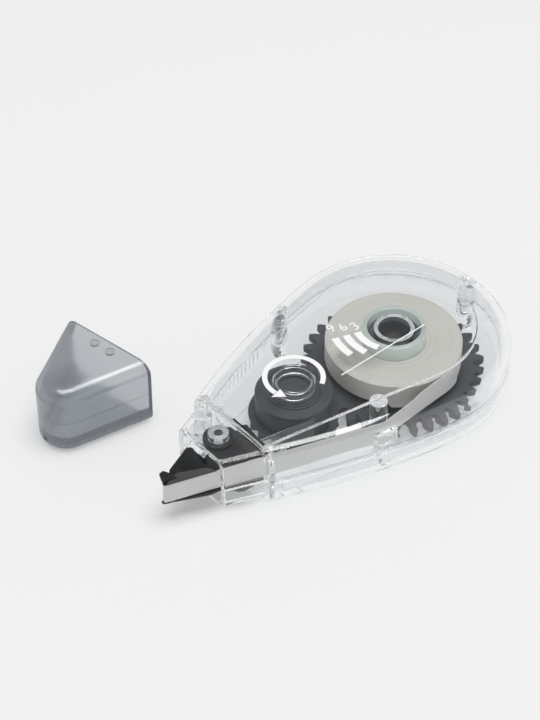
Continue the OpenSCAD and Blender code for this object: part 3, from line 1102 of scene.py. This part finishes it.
@dataclass
class SupplyReel:
    """Drive gear, rubber clutch ring, clear core and the roll of tape left on it."""

    layout: Layout
    black: BlackMoulding
    rubber: Coating
    clear: HazyMoulding
    roll_finish: WoundFilm
    teeth: int = 34
    hub_r: float = 5.75
    bore_r: float = 4.46
    clutch_z: float = 8.0
    clutch_h: float = 1.2
    clutch_depth: float = 0.6
    core_r: float = 7.0
    lip_r: float = 9.5
    lip_t: float = 0.4
    tooth_edge: float = 0.12
    hub_edge: float = 0.15
    core_gap: float = 0.15
    core_round: tuple[float, float] = (0.25, 0.07)
    clutch_gap: float = 0.05
    clutch_edge: float = 0.2
    clutch_steps: int = 4
    roll_steps: int = 192

    def gear(self) -> Piece:
        """Toothed plate on its grooved hub."""
        layout = self.layout
        top = layout.gear_z + layout.gear_t
        outline = Gear(self.teeth).outline(layout.mesh_angle)
        plate = solid("toothed_wheel", extrude(outline, layout.gear_z, top, self.tooth_edge))
        bore = bar((0, 0), self.bore_r, layout.gear_z - PAST, top + PAST, SOFT, ROUND_STEPS)
        combine(plate, [bore], Cut.REMOVE)
        inner, outer, groove = self.bore_r, self.hub_r, self.hub_r - self.clutch_depth
        low, high, edge = layout.gear_z, layout.hub_top, self.hub_edge
        section = np.array([
            [inner, low], [outer, low], [outer, self.clutch_z], [groove, self.clutch_z],
            [groove, self.clutch_z + self.clutch_h], [outer, self.clutch_z + self.clutch_h],
            [outer, high - edge], [outer - edge, high], [inner + edge, high], [inner, high - edge]])
        hub = solid("hub", revolve(section), loop=True)
        return combine(plate, [hub], Cut.JOIN)

    def core(self) -> Piece:
        """Clear sleeve with a thin lip under the tape."""
        low = self.layout.gear_z + self.layout.gear_t + self.core_gap
        lip = self.layout.tape_z - self.core_gap
        inner, outer, rim = self.hub_r + self.layout.fit, self.core_r, self.lip_r
        high = self.layout.core_top
        far, near = self.core_round
        section = np.array([
            [inner, low], [outer, low], [outer, lip - self.lip_t], [rim - SOFT, lip - self.lip_t],
            [rim, lip - self.lip_t + SOFT], [rim, lip - SOFT], [rim - SOFT, lip], [outer, lip],
            [outer, high - far], [outer - near, high - near], [outer - far, high],
            [inner + far, high], [inner + near, high - near], [inner, high - far]])
        return solid("core_sleeve", revolve(section), loop=True)

    def roll(self) -> Piece:
        """Wound tape with softened edges."""
        section = self.layout.winding(self.core_r, self.layout.roll_r)
        return solid("wound_tape", revolve(section, steps=self.roll_steps), loop=True)

    def build(self) -> None:
        """Makes the four pieces and dresses them."""
        seat(smooth(self.gear()), Body.DRIVE, self.black.material(), Slot.BLACK, "drive_gear")
        low = self.clutch_z + self.clutch_gap
        high = low + self.clutch_h - 2 * self.clutch_gap
        inner, outer = self.hub_r - self.clutch_depth + HAIR, self.hub_r - HAIR
        section = ring_profile(inner, outer, low, high, self.clutch_edge, self.clutch_steps)
        band = solid("clutch_band", revolve(section), loop=True)
        seat(smooth(band), Body.DRIVE, self.rubber.material(), Slot.RUBBER, "clutch_ring")
        seat(smooth(self.core()), Body.SUPPLY, self.clear.material(), Slot.CORE, "supply_core")
        seat(smooth(self.roll()), Body.SUPPLY, self.roll_finish.material(), Slot.TAPE, "tape_roll")


@dataclass
class TakeUpReel:
    """Pinion and drum, the flange pressed on top and the spent ribbon between."""

    layout: Layout
    black: BlackMoulding
    film: WoundFilm
    teeth: int = 15
    bore_r: float = 2.46
    drum_r: float = 5.2
    lower_flange_r: float = 9.7
    lower_flange_t: float = 0.35
    upper_flange_r: float = 8.3
    flange_t: float = 0.45
    crown_r: tuple[float, ...] = (5.7, 5.2, 4.7)
    dish_r: float = 3.6
    dish_depth: float = 0.5
    flange_gap: float = 0.1
    flange_edge: float = 0.08
    pinion_root: float = 0.05
    drum_fill: float = 0.4

    def reel(self) -> Piece:
        """Pinion, lower flange and drum in one moulding."""
        layout = self.layout
        outline = Gear(self.teeth).outline(layout.mesh_angle + 180 + 180 / self.teeth) + np.array(layout.take_up)
        low, high = layout.tape_z - self.lower_flange_t - self.flange_gap, layout.flange_z - HAIR
        edge = self.flange_edge
        pinion = solid("pinion_reel", extrude(outline, layout.gear_z, low + self.pinion_root, edge))
        inner, rim, top = self.bore_r - self.drum_fill, self.lower_flange_r, low + self.lower_flange_t
        section = np.array([
            [inner, low], [rim - edge, low], [rim, low + edge], [rim, top - edge], [rim - edge, top],
            [self.drum_r, top], [self.drum_r, high], [inner, high]])
        drum = solid("drum", revolve(section, layout.take_up), loop=True)
        bore = bar(layout.take_up, self.bore_r, layout.gear_z - PAST, high + PAST, SOFT, ROUND_STEPS)
        combine(pinion, [drum], Cut.JOIN)
        return combine(pinion, [bore], Cut.REMOVE)

    def flange(self) -> Piece:
        """Round cover of the drum with a stepped, dished crown."""
        low = self.layout.flange_z
        rim = low + self.flange_t
        crown = self.layout.crown_z
        outer, edge = self.upper_flange_r, self.flange_edge
        section = [[AXIS_R, low], [outer - edge, low], [outer, low + edge], [outer, rim - SOFT], [outer - SOFT, rim]]
        rise = (crown - rim) / len(self.crown_r)
        for k, r in enumerate(self.crown_r):
            top = rim + (k + 1) * rise
            section += [[r, top - rise], [r, top - SOFT], [r - SOFT, top]]
        dish = crown - self.dish_depth
        section += [[self.dish_r + SOFT, crown], [self.dish_r, crown - SOFT], [self.dish_r, dish], [AXIS_R, dish]]
        return solid("drum_flange", revolve(np.array(section), self.layout.take_up))

    def build(self) -> None:
        """Makes the three pieces and dresses them."""
        black = self.black.material()
        seat(smooth(self.reel()), Body.TAKE_UP, black, Slot.BLACK, "take_up_reel")
        seat(smooth(self.flange()), Body.TAKE_UP, black, Slot.BLACK, "take_up_flange")
        section = self.layout.winding(self.drum_r, self.layout.ribbon_r)
        ribbon = solid("wound_ribbon", revolve(section, self.layout.take_up), loop=True)
        seat(smooth(ribbon), Body.TAKE_UP, self.film.material(), Slot.FILM, "spent_ribbon")


@dataclass
class TapePath:
    """The run of tape from the roll round the guide post to the pressing edge, and the spent run back."""

    layout: Layout
    tape: Coating
    film: ClearMoulding
    head_edge: tuple[float, float] = (-64.3, -0.6)
    head_round: float = 0.35
    thickness: float = 0.16
    lift: float = 0.1
    ribbon_gap: float = 0.3
    spent_points: int = 4
    edge_points: int = 16
    bend_points: int = 14
    wrap_points: int = 25
    wrap_turn: float = 26.0
    wrap_end: tuple[float, float] = (0.02, 0.01)

    def tangent(self, c0: np.ndarray, r0: float, c1: np.ndarray, r1: float) -> tuple[np.ndarray, np.ndarray, float]:
        """Straight run between two circles that the tape passes on the same side, seen from above.

        Args:
            c0: Centre of the first circle.
            r0: Its radius, negative to pass on the other side.
            c1: Centre of the second circle.
            r1: Its radius.

        Returns:
            Both ends of the run, and the angle from each centre to its end.
        """
        along = c1 - c0
        angle = np.degrees(np.arctan2(along[1], along[0]) + np.arcsin((r0 - r1) / np.linalg.norm(along))) - 90
        return c0 + r0 * unit(angle), c1 + r1 * unit(angle), angle

    @property
    def edge_centre(self) -> np.ndarray:
        """Centre of the rounded pressing edge."""
        return np.array(self.head_edge) + np.array([self.head_round, 0])

    @property
    def fresh_run(self) -> tuple[np.ndarray, np.ndarray, float]:
        """Straight run from the pressing edge to the guide post."""
        post = np.array(self.layout.guide_post)
        return self.tangent(self.edge_centre, self.head_round, post, self.layout.post_r + self.lift)

    @property
    def spent_run(self) -> tuple[np.ndarray, np.ndarray, float]:
        """Straight run from the take-up reel to the pressing edge."""
        reel = np.array(self.layout.take_up)
        return self.tangent(reel, -self.layout.ribbon_r - self.ribbon_gap, self.edge_centre, self.head_round)

    def fresh(self) -> tuple[np.ndarray, np.ndarray]:
        """Plan of the fresh run, from behind the pressing edge to the roll, and its thickness, which thins there."""
        post = np.array(self.layout.guide_post)
        clear = self.layout.post_r + self.lift
        a0, a1 = self.spent_run[2], self.fresh_run[2]
        _, _, a2 = self.tangent(post, clear, np.zeros(2), self.layout.roll_r + self.lift)
        edge = self.edge_centre + self.head_round * unit(np.linspace(a0, a1 + 360, self.edge_points))
        bend = post + clear * unit(np.linspace(a1, a2, self.bend_points))
        near = np.linspace(self.lift, self.wrap_end[0], self.wrap_points)[:, None]
        wrap = (self.layout.roll_r + near) * unit(np.linspace(a2, a2 + self.wrap_turn, self.wrap_points))
        thin = np.linspace(self.thickness, self.wrap_end[1], self.wrap_points)
        even = np.full(len(edge) + len(bend), self.thickness)
        return np.concatenate([edge, bend, wrap]), np.concatenate([even, thin])

    def strip(self, name: str, path: np.ndarray, thickness: np.ndarray) -> Piece:
        """Tape on edge along a plan path: a thin upright section carried along it.

        Args:
            name: Name of the piece.
            path: Plan points.
            thickness: Thickness at each of them.

        Returns:
            The closed strip.
        """
        ahead = np.gradient(path, axis=0)
        ahead /= np.linalg.norm(ahead, axis=1, keepdims=True)
        side = np.stack([ahead[:, 1], -ahead[:, 0]], axis=1) * thickness[:, None]
        low, high = self.layout.tape_z, self.layout.tape_z + self.layout.tape_w
        rails = [at_height(path, low), at_height(path + side, low), at_height(path + side, high), at_height(path, high)]
        return solid(name, np.stack(rails, axis=1))

    def build(self) -> None:
        """Makes both runs and dresses them."""
        spent = np.linspace(*self.spent_run[:2], self.spent_points)
        fresh_run = self.strip("fresh_run", *self.fresh())
        spent_run = self.strip("spent_run", spent, np.full(len(spent), self.thickness))
        seat(smooth(fresh_run), Body.CASE, self.tape.material(), Slot.TAPE, "fresh_tape")
        seat(smooth(spent_run), Body.CASE, self.film.material(), Slot.FILM, "return_tape")


@dataclass
class Head:
    """Black tape head: two plates with the pressing blade between them, hung on the nose boss.

    The plan points of the hook, wing, fold, foot and flare are measured from the pressing edge.
    """

    layout: Layout
    path: TapePath
    black: BlackMoulding
    plate_t: float = 0.7
    base_t: float = 0.23
    play: float = 0.15
    lip: float = 0.3
    eye_r: float = 3.3
    eye_h: float = 1.5
    blade_l: float = 11.0
    blade_lift: float = 0.1
    blade_sink: float = 0.1
    fold_edge: float = 0.07
    plate_edge: float = 0.08
    eye_edge: float = 0.15
    bore_top: float = 20.0
    eye_steps: int = 96
    tail_run: float = 22.5
    hook: tuple[tuple[float, float], ...] = ((2.9, -0.6), (2.6, 1.1), (1.9, 2.6), (0.8, 2.5), (0.3, 1.4), (-0.2, 0.1))
    wing_front: tuple[float, float] = (3.1, 2.0)
    wing_corner: tuple[float, float] = (9.6, 4.5)
    wing_round: float = 1.0
    wing_arc: tuple[float, float] = (5.0, 111.0)
    arc_points: int = 9
    fold_front: tuple[float, float] = (3.5, 0.4)
    fold_back: tuple[float, float] = (9.3, -2.5)
    foot: tuple[tuple[float, float], ...] = ((-0.3, 0.6), (-0.1, 0.0), (1.1, -0.3))
    flare: tuple[tuple[float, float], ...] = ((8.8, -4.2), (11.0, -4.5))
    flare_start: float = 2.2
    tail_far: tuple[float, float] = (-41.4, 0.3)
    guard_centre: tuple[float, float] = (-48.4, -5.2)
    guard_r: float = 2.8
    guard_arc: tuple[float, float] = (205.0, 270.0)
    guard_end: tuple[float, float] = (-44.2, -8.1)

    @property
    def low(self) -> float:
        """Height of the lower plate."""
        return self.layout.tape_z - self.play - self.plate_t

    @property
    def high(self) -> float:
        """Height of the upper plate."""
        return self.layout.tape_z + self.layout.tape_w + self.play

    def from_edge(self, points: Any) -> np.ndarray:
        """Plan points given from the pressing edge."""
        return np.array(self.path.head_edge) + np.array(points)

    def beside(self, along: float, out: float) -> np.ndarray:
        """Place beside the fresh tape.

        Args:
            along: Distance along the tape from the pressing edge.
            out: Distance out from the tape's inner face.

        Returns:
            The plan point.
        """
        start, end, _ = self.path.fresh_run
        ahead = (end - start) / np.linalg.norm(end - start)
        return start + along * ahead + out * np.array([ahead[1], -ahead[0]])

    def on_eye(self, degrees: float) -> np.ndarray:
        """Plan point on the rim of the eye, at an angle from +X."""
        return np.array(self.layout.nose_boss) + self.eye_r * unit(degrees)

    def wing(self) -> Piece:
        """Wing of the upper plate, which slopes down from a fold to the tape."""
        centre = self.from_edge(self.wing_corner) - np.array([0, self.wing_round])
        corner = centre + self.wing_round * unit(np.linspace(*self.wing_arc, self.arc_points))
        far = [*corner, self.from_edge(self.wing_front)]
        low = np.array([self.beside(0, self.lip), self.beside(self.blade_l, self.lip), *far])
        high = np.array([self.from_edge(self.fold_front), self.from_edge(self.fold_back), *far])
        top, edge = self.high + self.plate_t, self.fold_edge
        rings = [(low, self.high), (low, self.high + self.base_t), (high, top - edge), (shrink(high, edge), top)]
        return solid("tape_head", stack(rings))

    def tail(self) -> np.ndarray:
        """Plan of the upper plate inside the nose."""
        return np.array([self.on_eye(60), self.on_eye(180), self.from_edge(self.fold_back),
                         self.beside(self.blade_l, 0), self.beside(self.tail_run, 0), self.tail_far])

    def base(self) -> np.ndarray:
        """Plan of the lower plate, with a foot under the pressing edge and a guard beside the tape."""
        guard = np.array(self.guard_centre) + self.guard_r * unit(np.linspace(*self.guard_arc, self.arc_points))
        return np.array([*self.from_edge(self.foot), self.beside(self.flare_start, 0), *self.from_edge(self.flare),
                         *guard, self.guard_end, (self.guard_end[0], self.tail_far[1]),
                         self.on_eye(60), self.on_eye(120)])

    def blade(self) -> np.ndarray:
        """Plan of the thin wedge between the fresh tape and the returning ribbon."""
        start, ahead, _ = self.path.fresh_run
        reel, edge, _ = self.path.spent_run
        out = (ahead - start) / np.linalg.norm(ahead - start)
        back = (reel - edge) / np.linalg.norm(reel - edge)
        near = start + self.blade_lift * np.array([-out[1], out[0]])
        far = edge + self.blade_lift * np.array([back[1], -back[0]])
        return np.array([near, near + self.blade_l * out, far + self.blade_l * back, far])

    def build(self) -> None:
        """Makes the head and dresses it."""
        boss, blade, low, high = self.layout.nose_boss, self.blade(), self.low, self.high
        head = self.wing()
        plates = ((self.from_edge(self.hook), high), (self.tail(), high), (self.base(), low))
        parts = [solid("plate", extrude(plan, z, z + self.plate_t, self.plate_edge)) for plan, z in plates]
        parts += [
            solid("blade", stack([(blade, low + self.blade_sink), (blade, high + self.blade_sink)])),
            bar(boss, self.eye_r, high, high + self.eye_h, self.eye_edge, self.eye_steps),
            bar(boss, self.eye_r, low, low + self.plate_t, SOFT, self.eye_steps),
        ]
        combine(head, parts, Cut.JOIN)
        bore = bar(boss, self.layout.boss_r + self.layout.fit, 0, self.bore_top, SOFT, self.eye_steps)
        combine(head, [bore], Cut.REMOVE)
        seat(smooth(head), Body.CASE, self.black.material(), Slot.BLACK, "head")


@dataclass
class Cap:
    """Loose smoky cap: a hollow wedge from a wide mouth to a round end, with two pads that grip the nose."""

    finish: HazyMoulding
    place: tuple[float, float] = (-50.1, 35.8)
    turn: float = 10.5
    length: float = 20.2
    half: float = 12.0
    height: float = 17.0
    wall: float = 1.0
    end_r: float = 6.0
    shoulder: float = 3.2
    foot: float = 2.4
    foot_fill: float = 2.2
    score_z: float = 8.7
    score_depth: float = 0.05
    pads: tuple[tuple[float, float], ...] = ((-1.9, 2.2), (-1.9, -2.2))
    pad_r: float = 1.0
    pad_h: float = 0.45
    gate: tuple[float, float, float] = (-20.2, 0.8, 2.6)
    gate_r: float = 0.5
    gate_edge: float = 0.2
    gate_steps: int = 24
    pad_edge: float = 0.08
    pad_steps: int = 40
    room_score: float = 0.02
    arc_points: int = 48
    side_points: int = 13
    foot_steps: int = 12
    shoulder_steps: int = 20

    def on_table(self, points: Any) -> np.ndarray:
        """Turns plan points of the cap and sets them down on the table.

        Args:
            points: Places measured from the middle of the mouth.

        Returns:
            Plan points beside the case.
        """
        t = np.radians(self.turn)
        spin = np.array([[np.cos(t), np.sin(t)], [-np.sin(t), np.cos(t)]])
        return np.asarray(points) @ spin + np.array(self.place)

    def outline(self, inset: float, mouth: float) -> np.ndarray:
        """Plan of the wedge: the mouth, two tangents and the round end, counter-clockwise.

        Args:
            inset: Distance from the outside.
            mouth: Where the mouth lies along the wedge.

        Returns:
            Plan points on the table.
        """
        centre = np.array([self.end_r - self.length, 0])
        radius = self.end_r - inset
        corner = np.array([mouth, self.half - inset])
        reach = corner - centre
        angle = np.degrees(np.arctan2(reach[1], reach[0]) + np.arccos(radius / np.linalg.norm(reach)))
        arc = centre + radius * unit(np.linspace(angle, 360 - angle, self.arc_points))
        side = np.linspace(corner, arc[0], self.side_points)[:-1]
        return self.on_table(np.concatenate([side, arc, side[::-1] * ACROSS]))

    def wedge(self, inset: float, mouth: float, score: float, foot: float) -> np.ndarray:
        """Grid of the wedge set in by a distance, its rim rounded above and below.

        Args:
            inset: Distance from the outside.
            mouth: Where the mouth lies along the wedge.
            score: Depth of the fine line round the wall.
            foot: Radius of the lower edge.

        Returns:
            Rings from the foot to the top.
        """
        foot_in, foot_rise = quarter(foot, self.foot_steps)
        top_in, top_rise = quarter(self.shoulder - inset, self.shoulder_steps)
        levels = [(i, inset + r) for i, r in zip(foot_in, foot_rise)]
        levels += [(0, self.score_z - score), (score, self.score_z), (0, self.score_z + score)]
        levels += [(i, self.height - inset - r) for i, r in zip(top_in[::-1], top_rise[::-1])]
        return stack([(self.outline(inset + i, mouth), z) for i, z in levels])

    def build(self) -> None:
        """Makes the cap and dresses it."""
        cap = solid("smoky_cap", self.wedge(0, 0, self.score_depth, self.foot))
        room = solid("room", self.wedge(self.wall, PAST, self.room_score, self.foot - self.wall + self.foot_fill))
        roof = self.height - self.wall
        low, high = roof - self.pad_h, roof + self.wall / 2
        pads = [bar(self.on_table(place), self.pad_r, low, high, self.pad_edge, self.pad_steps) for place in self.pads]
        combine(room, pads, Cut.REMOVE)
        x, y, z = self.gate
        low, high = z - self.gate_r, z + self.gate_r
        nick = bar(self.on_table((x, y)), self.gate_r, low, high, self.gate_edge, self.gate_steps)
        combine(cap, [room, nick], Cut.REMOVE)
        seat(smooth(cap), Body.CAP, self.finish.material(), Slot.CAP, "cap")


@dataclass
class GaugePrint:
    """White ink on the top panel: a gauge of the tape left, and an arrow round the take-up axis."""

    layout: Layout
    ink: Coating
    top: float = 17.0
    thickness: float = 0.03
    band_r: tuple[float, ...] = (8.6, 11.2, 13.8)
    band_w: float = 1.6
    band_start: float = 160.0
    band_span: tuple[float, ...] = (43.0, 34.0, 25.0)
    numerals: tuple[str, ...] = ("3", "6", "9")
    numeral_size: float = 3.4
    numeral_lead: float = 13.0
    rule: tuple[tuple[float, float], ...] = ((-19.5, -4.6), (4.5, -4.6))
    rule_w: float = 0.28
    arrow_r: tuple[float, float] = (5.6, 6.7)
    arrow_span: tuple[float, float] = (-60.0, 190.0)
    arrow_tip: float = 24.0
    arrow_half: float = 1.5
    arrow_gap: float = 1.0
    gap: float = 0.003
    band_points: int = 48

    def plate(self, outline: np.ndarray) -> Piece:
        """Flat patch of ink over a counter-clockwise plan outline."""
        return solid("ink", stack([(outline, self.top + self.gap), (outline, self.top + self.thickness)]))

    def band(self, centre: Sequence[float], inner: float, outer: float, start: float, end: float) -> np.ndarray:
        """Plan of a part of a ring."""
        angles = np.linspace(start, end, self.band_points)
        return np.asarray(centre) + np.concatenate([outer * unit(angles), inner * unit(angles[::-1])])

    def numeral(self, text: str, place: np.ndarray) -> Piece:
        """A plain numeral that reads along +X, as a closed mesh.

        Args:
            text: The numeral.
            place: Its middle in the plan.

        Returns:
            The mesh object.
        """
        curve = bpy.data.curves.new("numeral", "FONT")
        curve.body = text
        curve.size = self.numeral_size * MM
        curve.align_x, curve.align_y = "CENTER", "CENTER"
        curve.extrude = self.thickness * MM / 2
        shape = linked("numeral", curve)
        mesh = bpy.data.meshes.new_from_object(shape.evaluated_get(bpy.context.evaluated_depsgraph_get()))
        bpy.data.objects.remove(shape)
        bpy.data.curves.remove(curve)
        mesh.transform(Matrix.Translation(Vector((*place, self.top + self.gap + self.thickness / 2)) * MM))
        piece = linked("numeral", mesh)
        face_outwards(piece)
        return piece

    def build(self) -> None:
        """Prints the bands, numerals, rule and arrow as one piece of ink."""
        patches = []
        for radius, span, text in zip(self.band_r, self.band_span, self.numerals):
            start = self.band_start
            outline = self.band((0, 0), radius - self.band_w / 2, radius + self.band_w / 2, start, start + span)
            patches.append(self.plate(outline))
            patches.append(self.numeral(text, radius * unit(start - self.numeral_lead)))
        (x0, y), (x1, _) = self.rule
        half = self.rule_w / 2
        patches.append(self.plate(np.array([[x0, y - half], [x1, y - half], [x1, y + half], [x0, y + half]])))
        start, end = self.arrow_span
        patches.append(self.plate(self.band(self.layout.take_up, *self.arrow_r, start, end)))
        middle = sum(self.arrow_r) / 2
        tip = np.array(self.layout.take_up) + middle * unit(end + self.arrow_tip)
        wings = [middle - self.arrow_half, middle + self.arrow_half]
        foot = np.array(self.layout.take_up) + np.outer(wings, unit(end + self.arrow_gap))
        patches.append(self.plate(np.array([tip, foot[0], foot[1]])))
        print_piece = merge("gauge_print", patches)
        seat(smooth(print_piece), Body.CASE, self.ink.material(), None)


@dataclass
class Studio:
    """Pale floor, overhead softbox, bright low surround and the camera."""

    azimuth: float = -40.706
    elevation: float = 43.779
    focal_px: float = 2308.795
    distance: float = 508.13
    origin_px: tuple[float, float] = (391.611, 379.295)
    frame_px: tuple[float, float] = (540, 720)
    sensor: float = 36.0
    nearest: float = 0.01
    floor_colour: str = "#f3f3f3"
    floor_size: float = 4.0
    floor_glow: str = "#efefef"
    glow_share: float = 0.35
    surround: tuple[tuple[float, float], ...] = ((0.0, 0.95), (0.3, 0.95), (0.45, 0.2), (1.0, 0.2))
    key_size: tuple[float, float] = (0.75, 0.55)
    key_place: tuple[float, float, float] = (-0.04, -0.1, 1.05)
    key_power: float = 8.75
    bounces: int = 48

    def camera(self) -> None:
        """Places the camera so that the supply axis at the table falls on its pixel of the frame."""
        a, e = np.radians([self.azimuth, self.elevation])
        back = np.array([np.sin(a) * np.cos(e), -np.cos(a) * np.cos(e), np.sin(e)])
        right = np.array([np.cos(a), np.sin(a), 0])
        up = np.cross(back, right)
        shift = (np.array(self.origin_px) - np.array(self.frame_px) / 2) / self.focal_px * self.distance
        eye = (back * self.distance - right * shift[0] + up * shift[1]) * MM
        data = bpy.data.cameras.new("camera")
        data.sensor_width = self.sensor
        data.lens = self.focal_px * self.sensor / max(self.frame_px)
        data.clip_start = self.nearest
        camera = linked("camera", data)
        turn = Matrix(np.stack([right, up, back], axis=1).tolist()).to_4x4()
        camera.matrix_world = Matrix.Translation(Vector(eye)) @ turn
        bpy.context.scene.camera = camera

    def floor(self) -> None:
        """Lays a plain pale floor whose shade is softened for the eye, also where it is seen in gloss or glass."""
        half = self.floor_size / 2
        mesh = bpy.data.meshes.new("floor")
        mesh.from_pydata([(-half, -half, 0), (half, -half, 0), (half, half, 0), (-half, half, 0)], [], [(0, 1, 2, 3)])
        floor = linked("floor", mesh)
        material = empty_material("matt_paper_sweep")
        tree = material.node_tree
        path = add_node(tree, "LightPath").outputs
        seen = path["Is Camera Ray"]
        for kind in ("Is Glossy Ray", "Is Transmission Ray"):
            seen = add_node(tree, "Math", {0: seen, 1: path[kind]}, operation="MAXIMUM").outputs[0]
        share = add_node(tree, "Math", {0: seen, 1: self.glow_share}, operation="MULTIPLY")
        paper = add_node(tree, "BsdfDiffuse", {"Color": linear(self.floor_colour)})
        glow = add_node(tree, "Emission", {"Color": linear(self.floor_glow)})
        surface = add_node(tree, "MixShader", {0: share.outputs[0], 1: paper.outputs[0], 2: glow.outputs[0]})
        add_node(tree, "OutputMaterial", {"Surface": surface.outputs[0]})
        mesh.materials.append(material)

    def lamps(self) -> None:
        """Hangs the softbox and sets the light of the surround by its height above the horizon."""
        data = bpy.data.lights.new("softbox", "AREA")
        data.shape = "RECTANGLE"
        data.size, data.size_y = self.key_size
        data.energy = self.key_power
        lamp = linked("softbox", data)
        place = Vector(self.key_place)
        lamp.location = place
        lamp.rotation_euler = place.to_track_quat("Z", "Y").to_euler()
        world = bpy.data.worlds.new("surround")
        bpy.context.scene.world = world
        world.use_nodes = True
        tree = world.node_tree
        tree.nodes.clear()
        height = add_node(tree, "SeparateXYZ", {0: add_node(tree, "TexCoord").outputs["Generated"]})
        ramp = add_node(tree, "ValToRGB", {0: height.outputs[2]})
        stops = ramp.color_ramp.elements
        for at, level in self.surround[1:-1]:
            stops.new(at).color = (level, level, level, 1)
        for stop, (at, level) in ((stops[0], self.surround[0]), (stops[-1], self.surround[-1])):
            stop.position, stop.color = at, (level, level, level, 1)
        light = add_node(tree, "Background", {"Color": ramp.outputs[0]})
        add_node(tree, "OutputWorld", {"Surface": light.outputs[0]})

    def build(self) -> None:
        """Sets the scene."""
        self.camera()
        self.floor()
        self.lamps()
        scene = bpy.context.scene
        scene.view_settings.view_transform = "Standard"
        for kind in ("max_bounces", "transmission_bounces", "glossy_bounces", "transparent_max_bounces"):
            setattr(scene.cycles, kind, self.bounces)


def main() -> None:
    """Builds every sub-assembly in order."""
    logging.basicConfig(level=logging.INFO, format="%(message)s")
    form, layout = CaseForm(), Layout()
    # The case is glass clear: the eye reads its edges, and the reels bent and lifted by its walls
    clear = ClearMoulding("clear_polystyrene_moulded", "#fcfdfe", "#fdfefe")
    # The core is a milky pale green that stands off the white roll, and the cap darkens where its walls are deep
    core = HazyMoulding("clear_green_polystyrene_moulded", "#f1fbf6", "#fbfefd", haze=0.06, milk=0.52)
    smoky = HazyMoulding("smoky_polystyrene_moulded", "#eff1f3", "#fbfcfd", haze=0.19, milk=0.08, coat=0.0,
                         specular=0.25, smoke="#d2d6da")
    # The head is a deep black. The reels' black is painted lighter and bluer than the head's, a painted sheen for the
    # light that the clear roof lays over them. The rubber is dull
    black = BlackMoulding()
    lightened_reel_black = BlackMoulding("black_reel_moulded_painted_lighter", "#36383d", "#474a50")
    rubber = Coating("nitrile_rubber_moulded", "#3a3b3d", "#2c2d2f")
    # The fresh tape is a dry white with a slight gloss, and the spent film only tints what lies behind it
    tape = Coating("dry_correction_film", "#d5d4d3", "#cac9c8", roughness=0.38)
    film = ClearMoulding("spent_carrier_film", "#f0f4f4", "#f0f4f4", ior=1.4)
    # Wound film shows its turns on edge, and the ink is an even opaque white
    roll = WoundFilm("wound_correction_film", "#dedbd5", "#b9b5ae")
    ribbon = WoundFilm("wound_carrier_film", "#3c4a4b", "#2a3536", layout.take_up)
    ink = Coating("white_printing_ink", "#fbfbfb", "#f4f5f5")
    path = TapePath(layout, tape, film)
    Studio().build()
    for assembly in (
        Case(form, layout, clear),
        SupplyReel(layout, lightened_reel_black, rubber, core, roll),
        TakeUpReel(layout, lightened_reel_black, ribbon),
        path,
        Head(layout, path, black),
        Cap(smoky),
        GaugePrint(layout, ink),
    ):
        assembly.build()


if __name__ == "__main__":
    main()
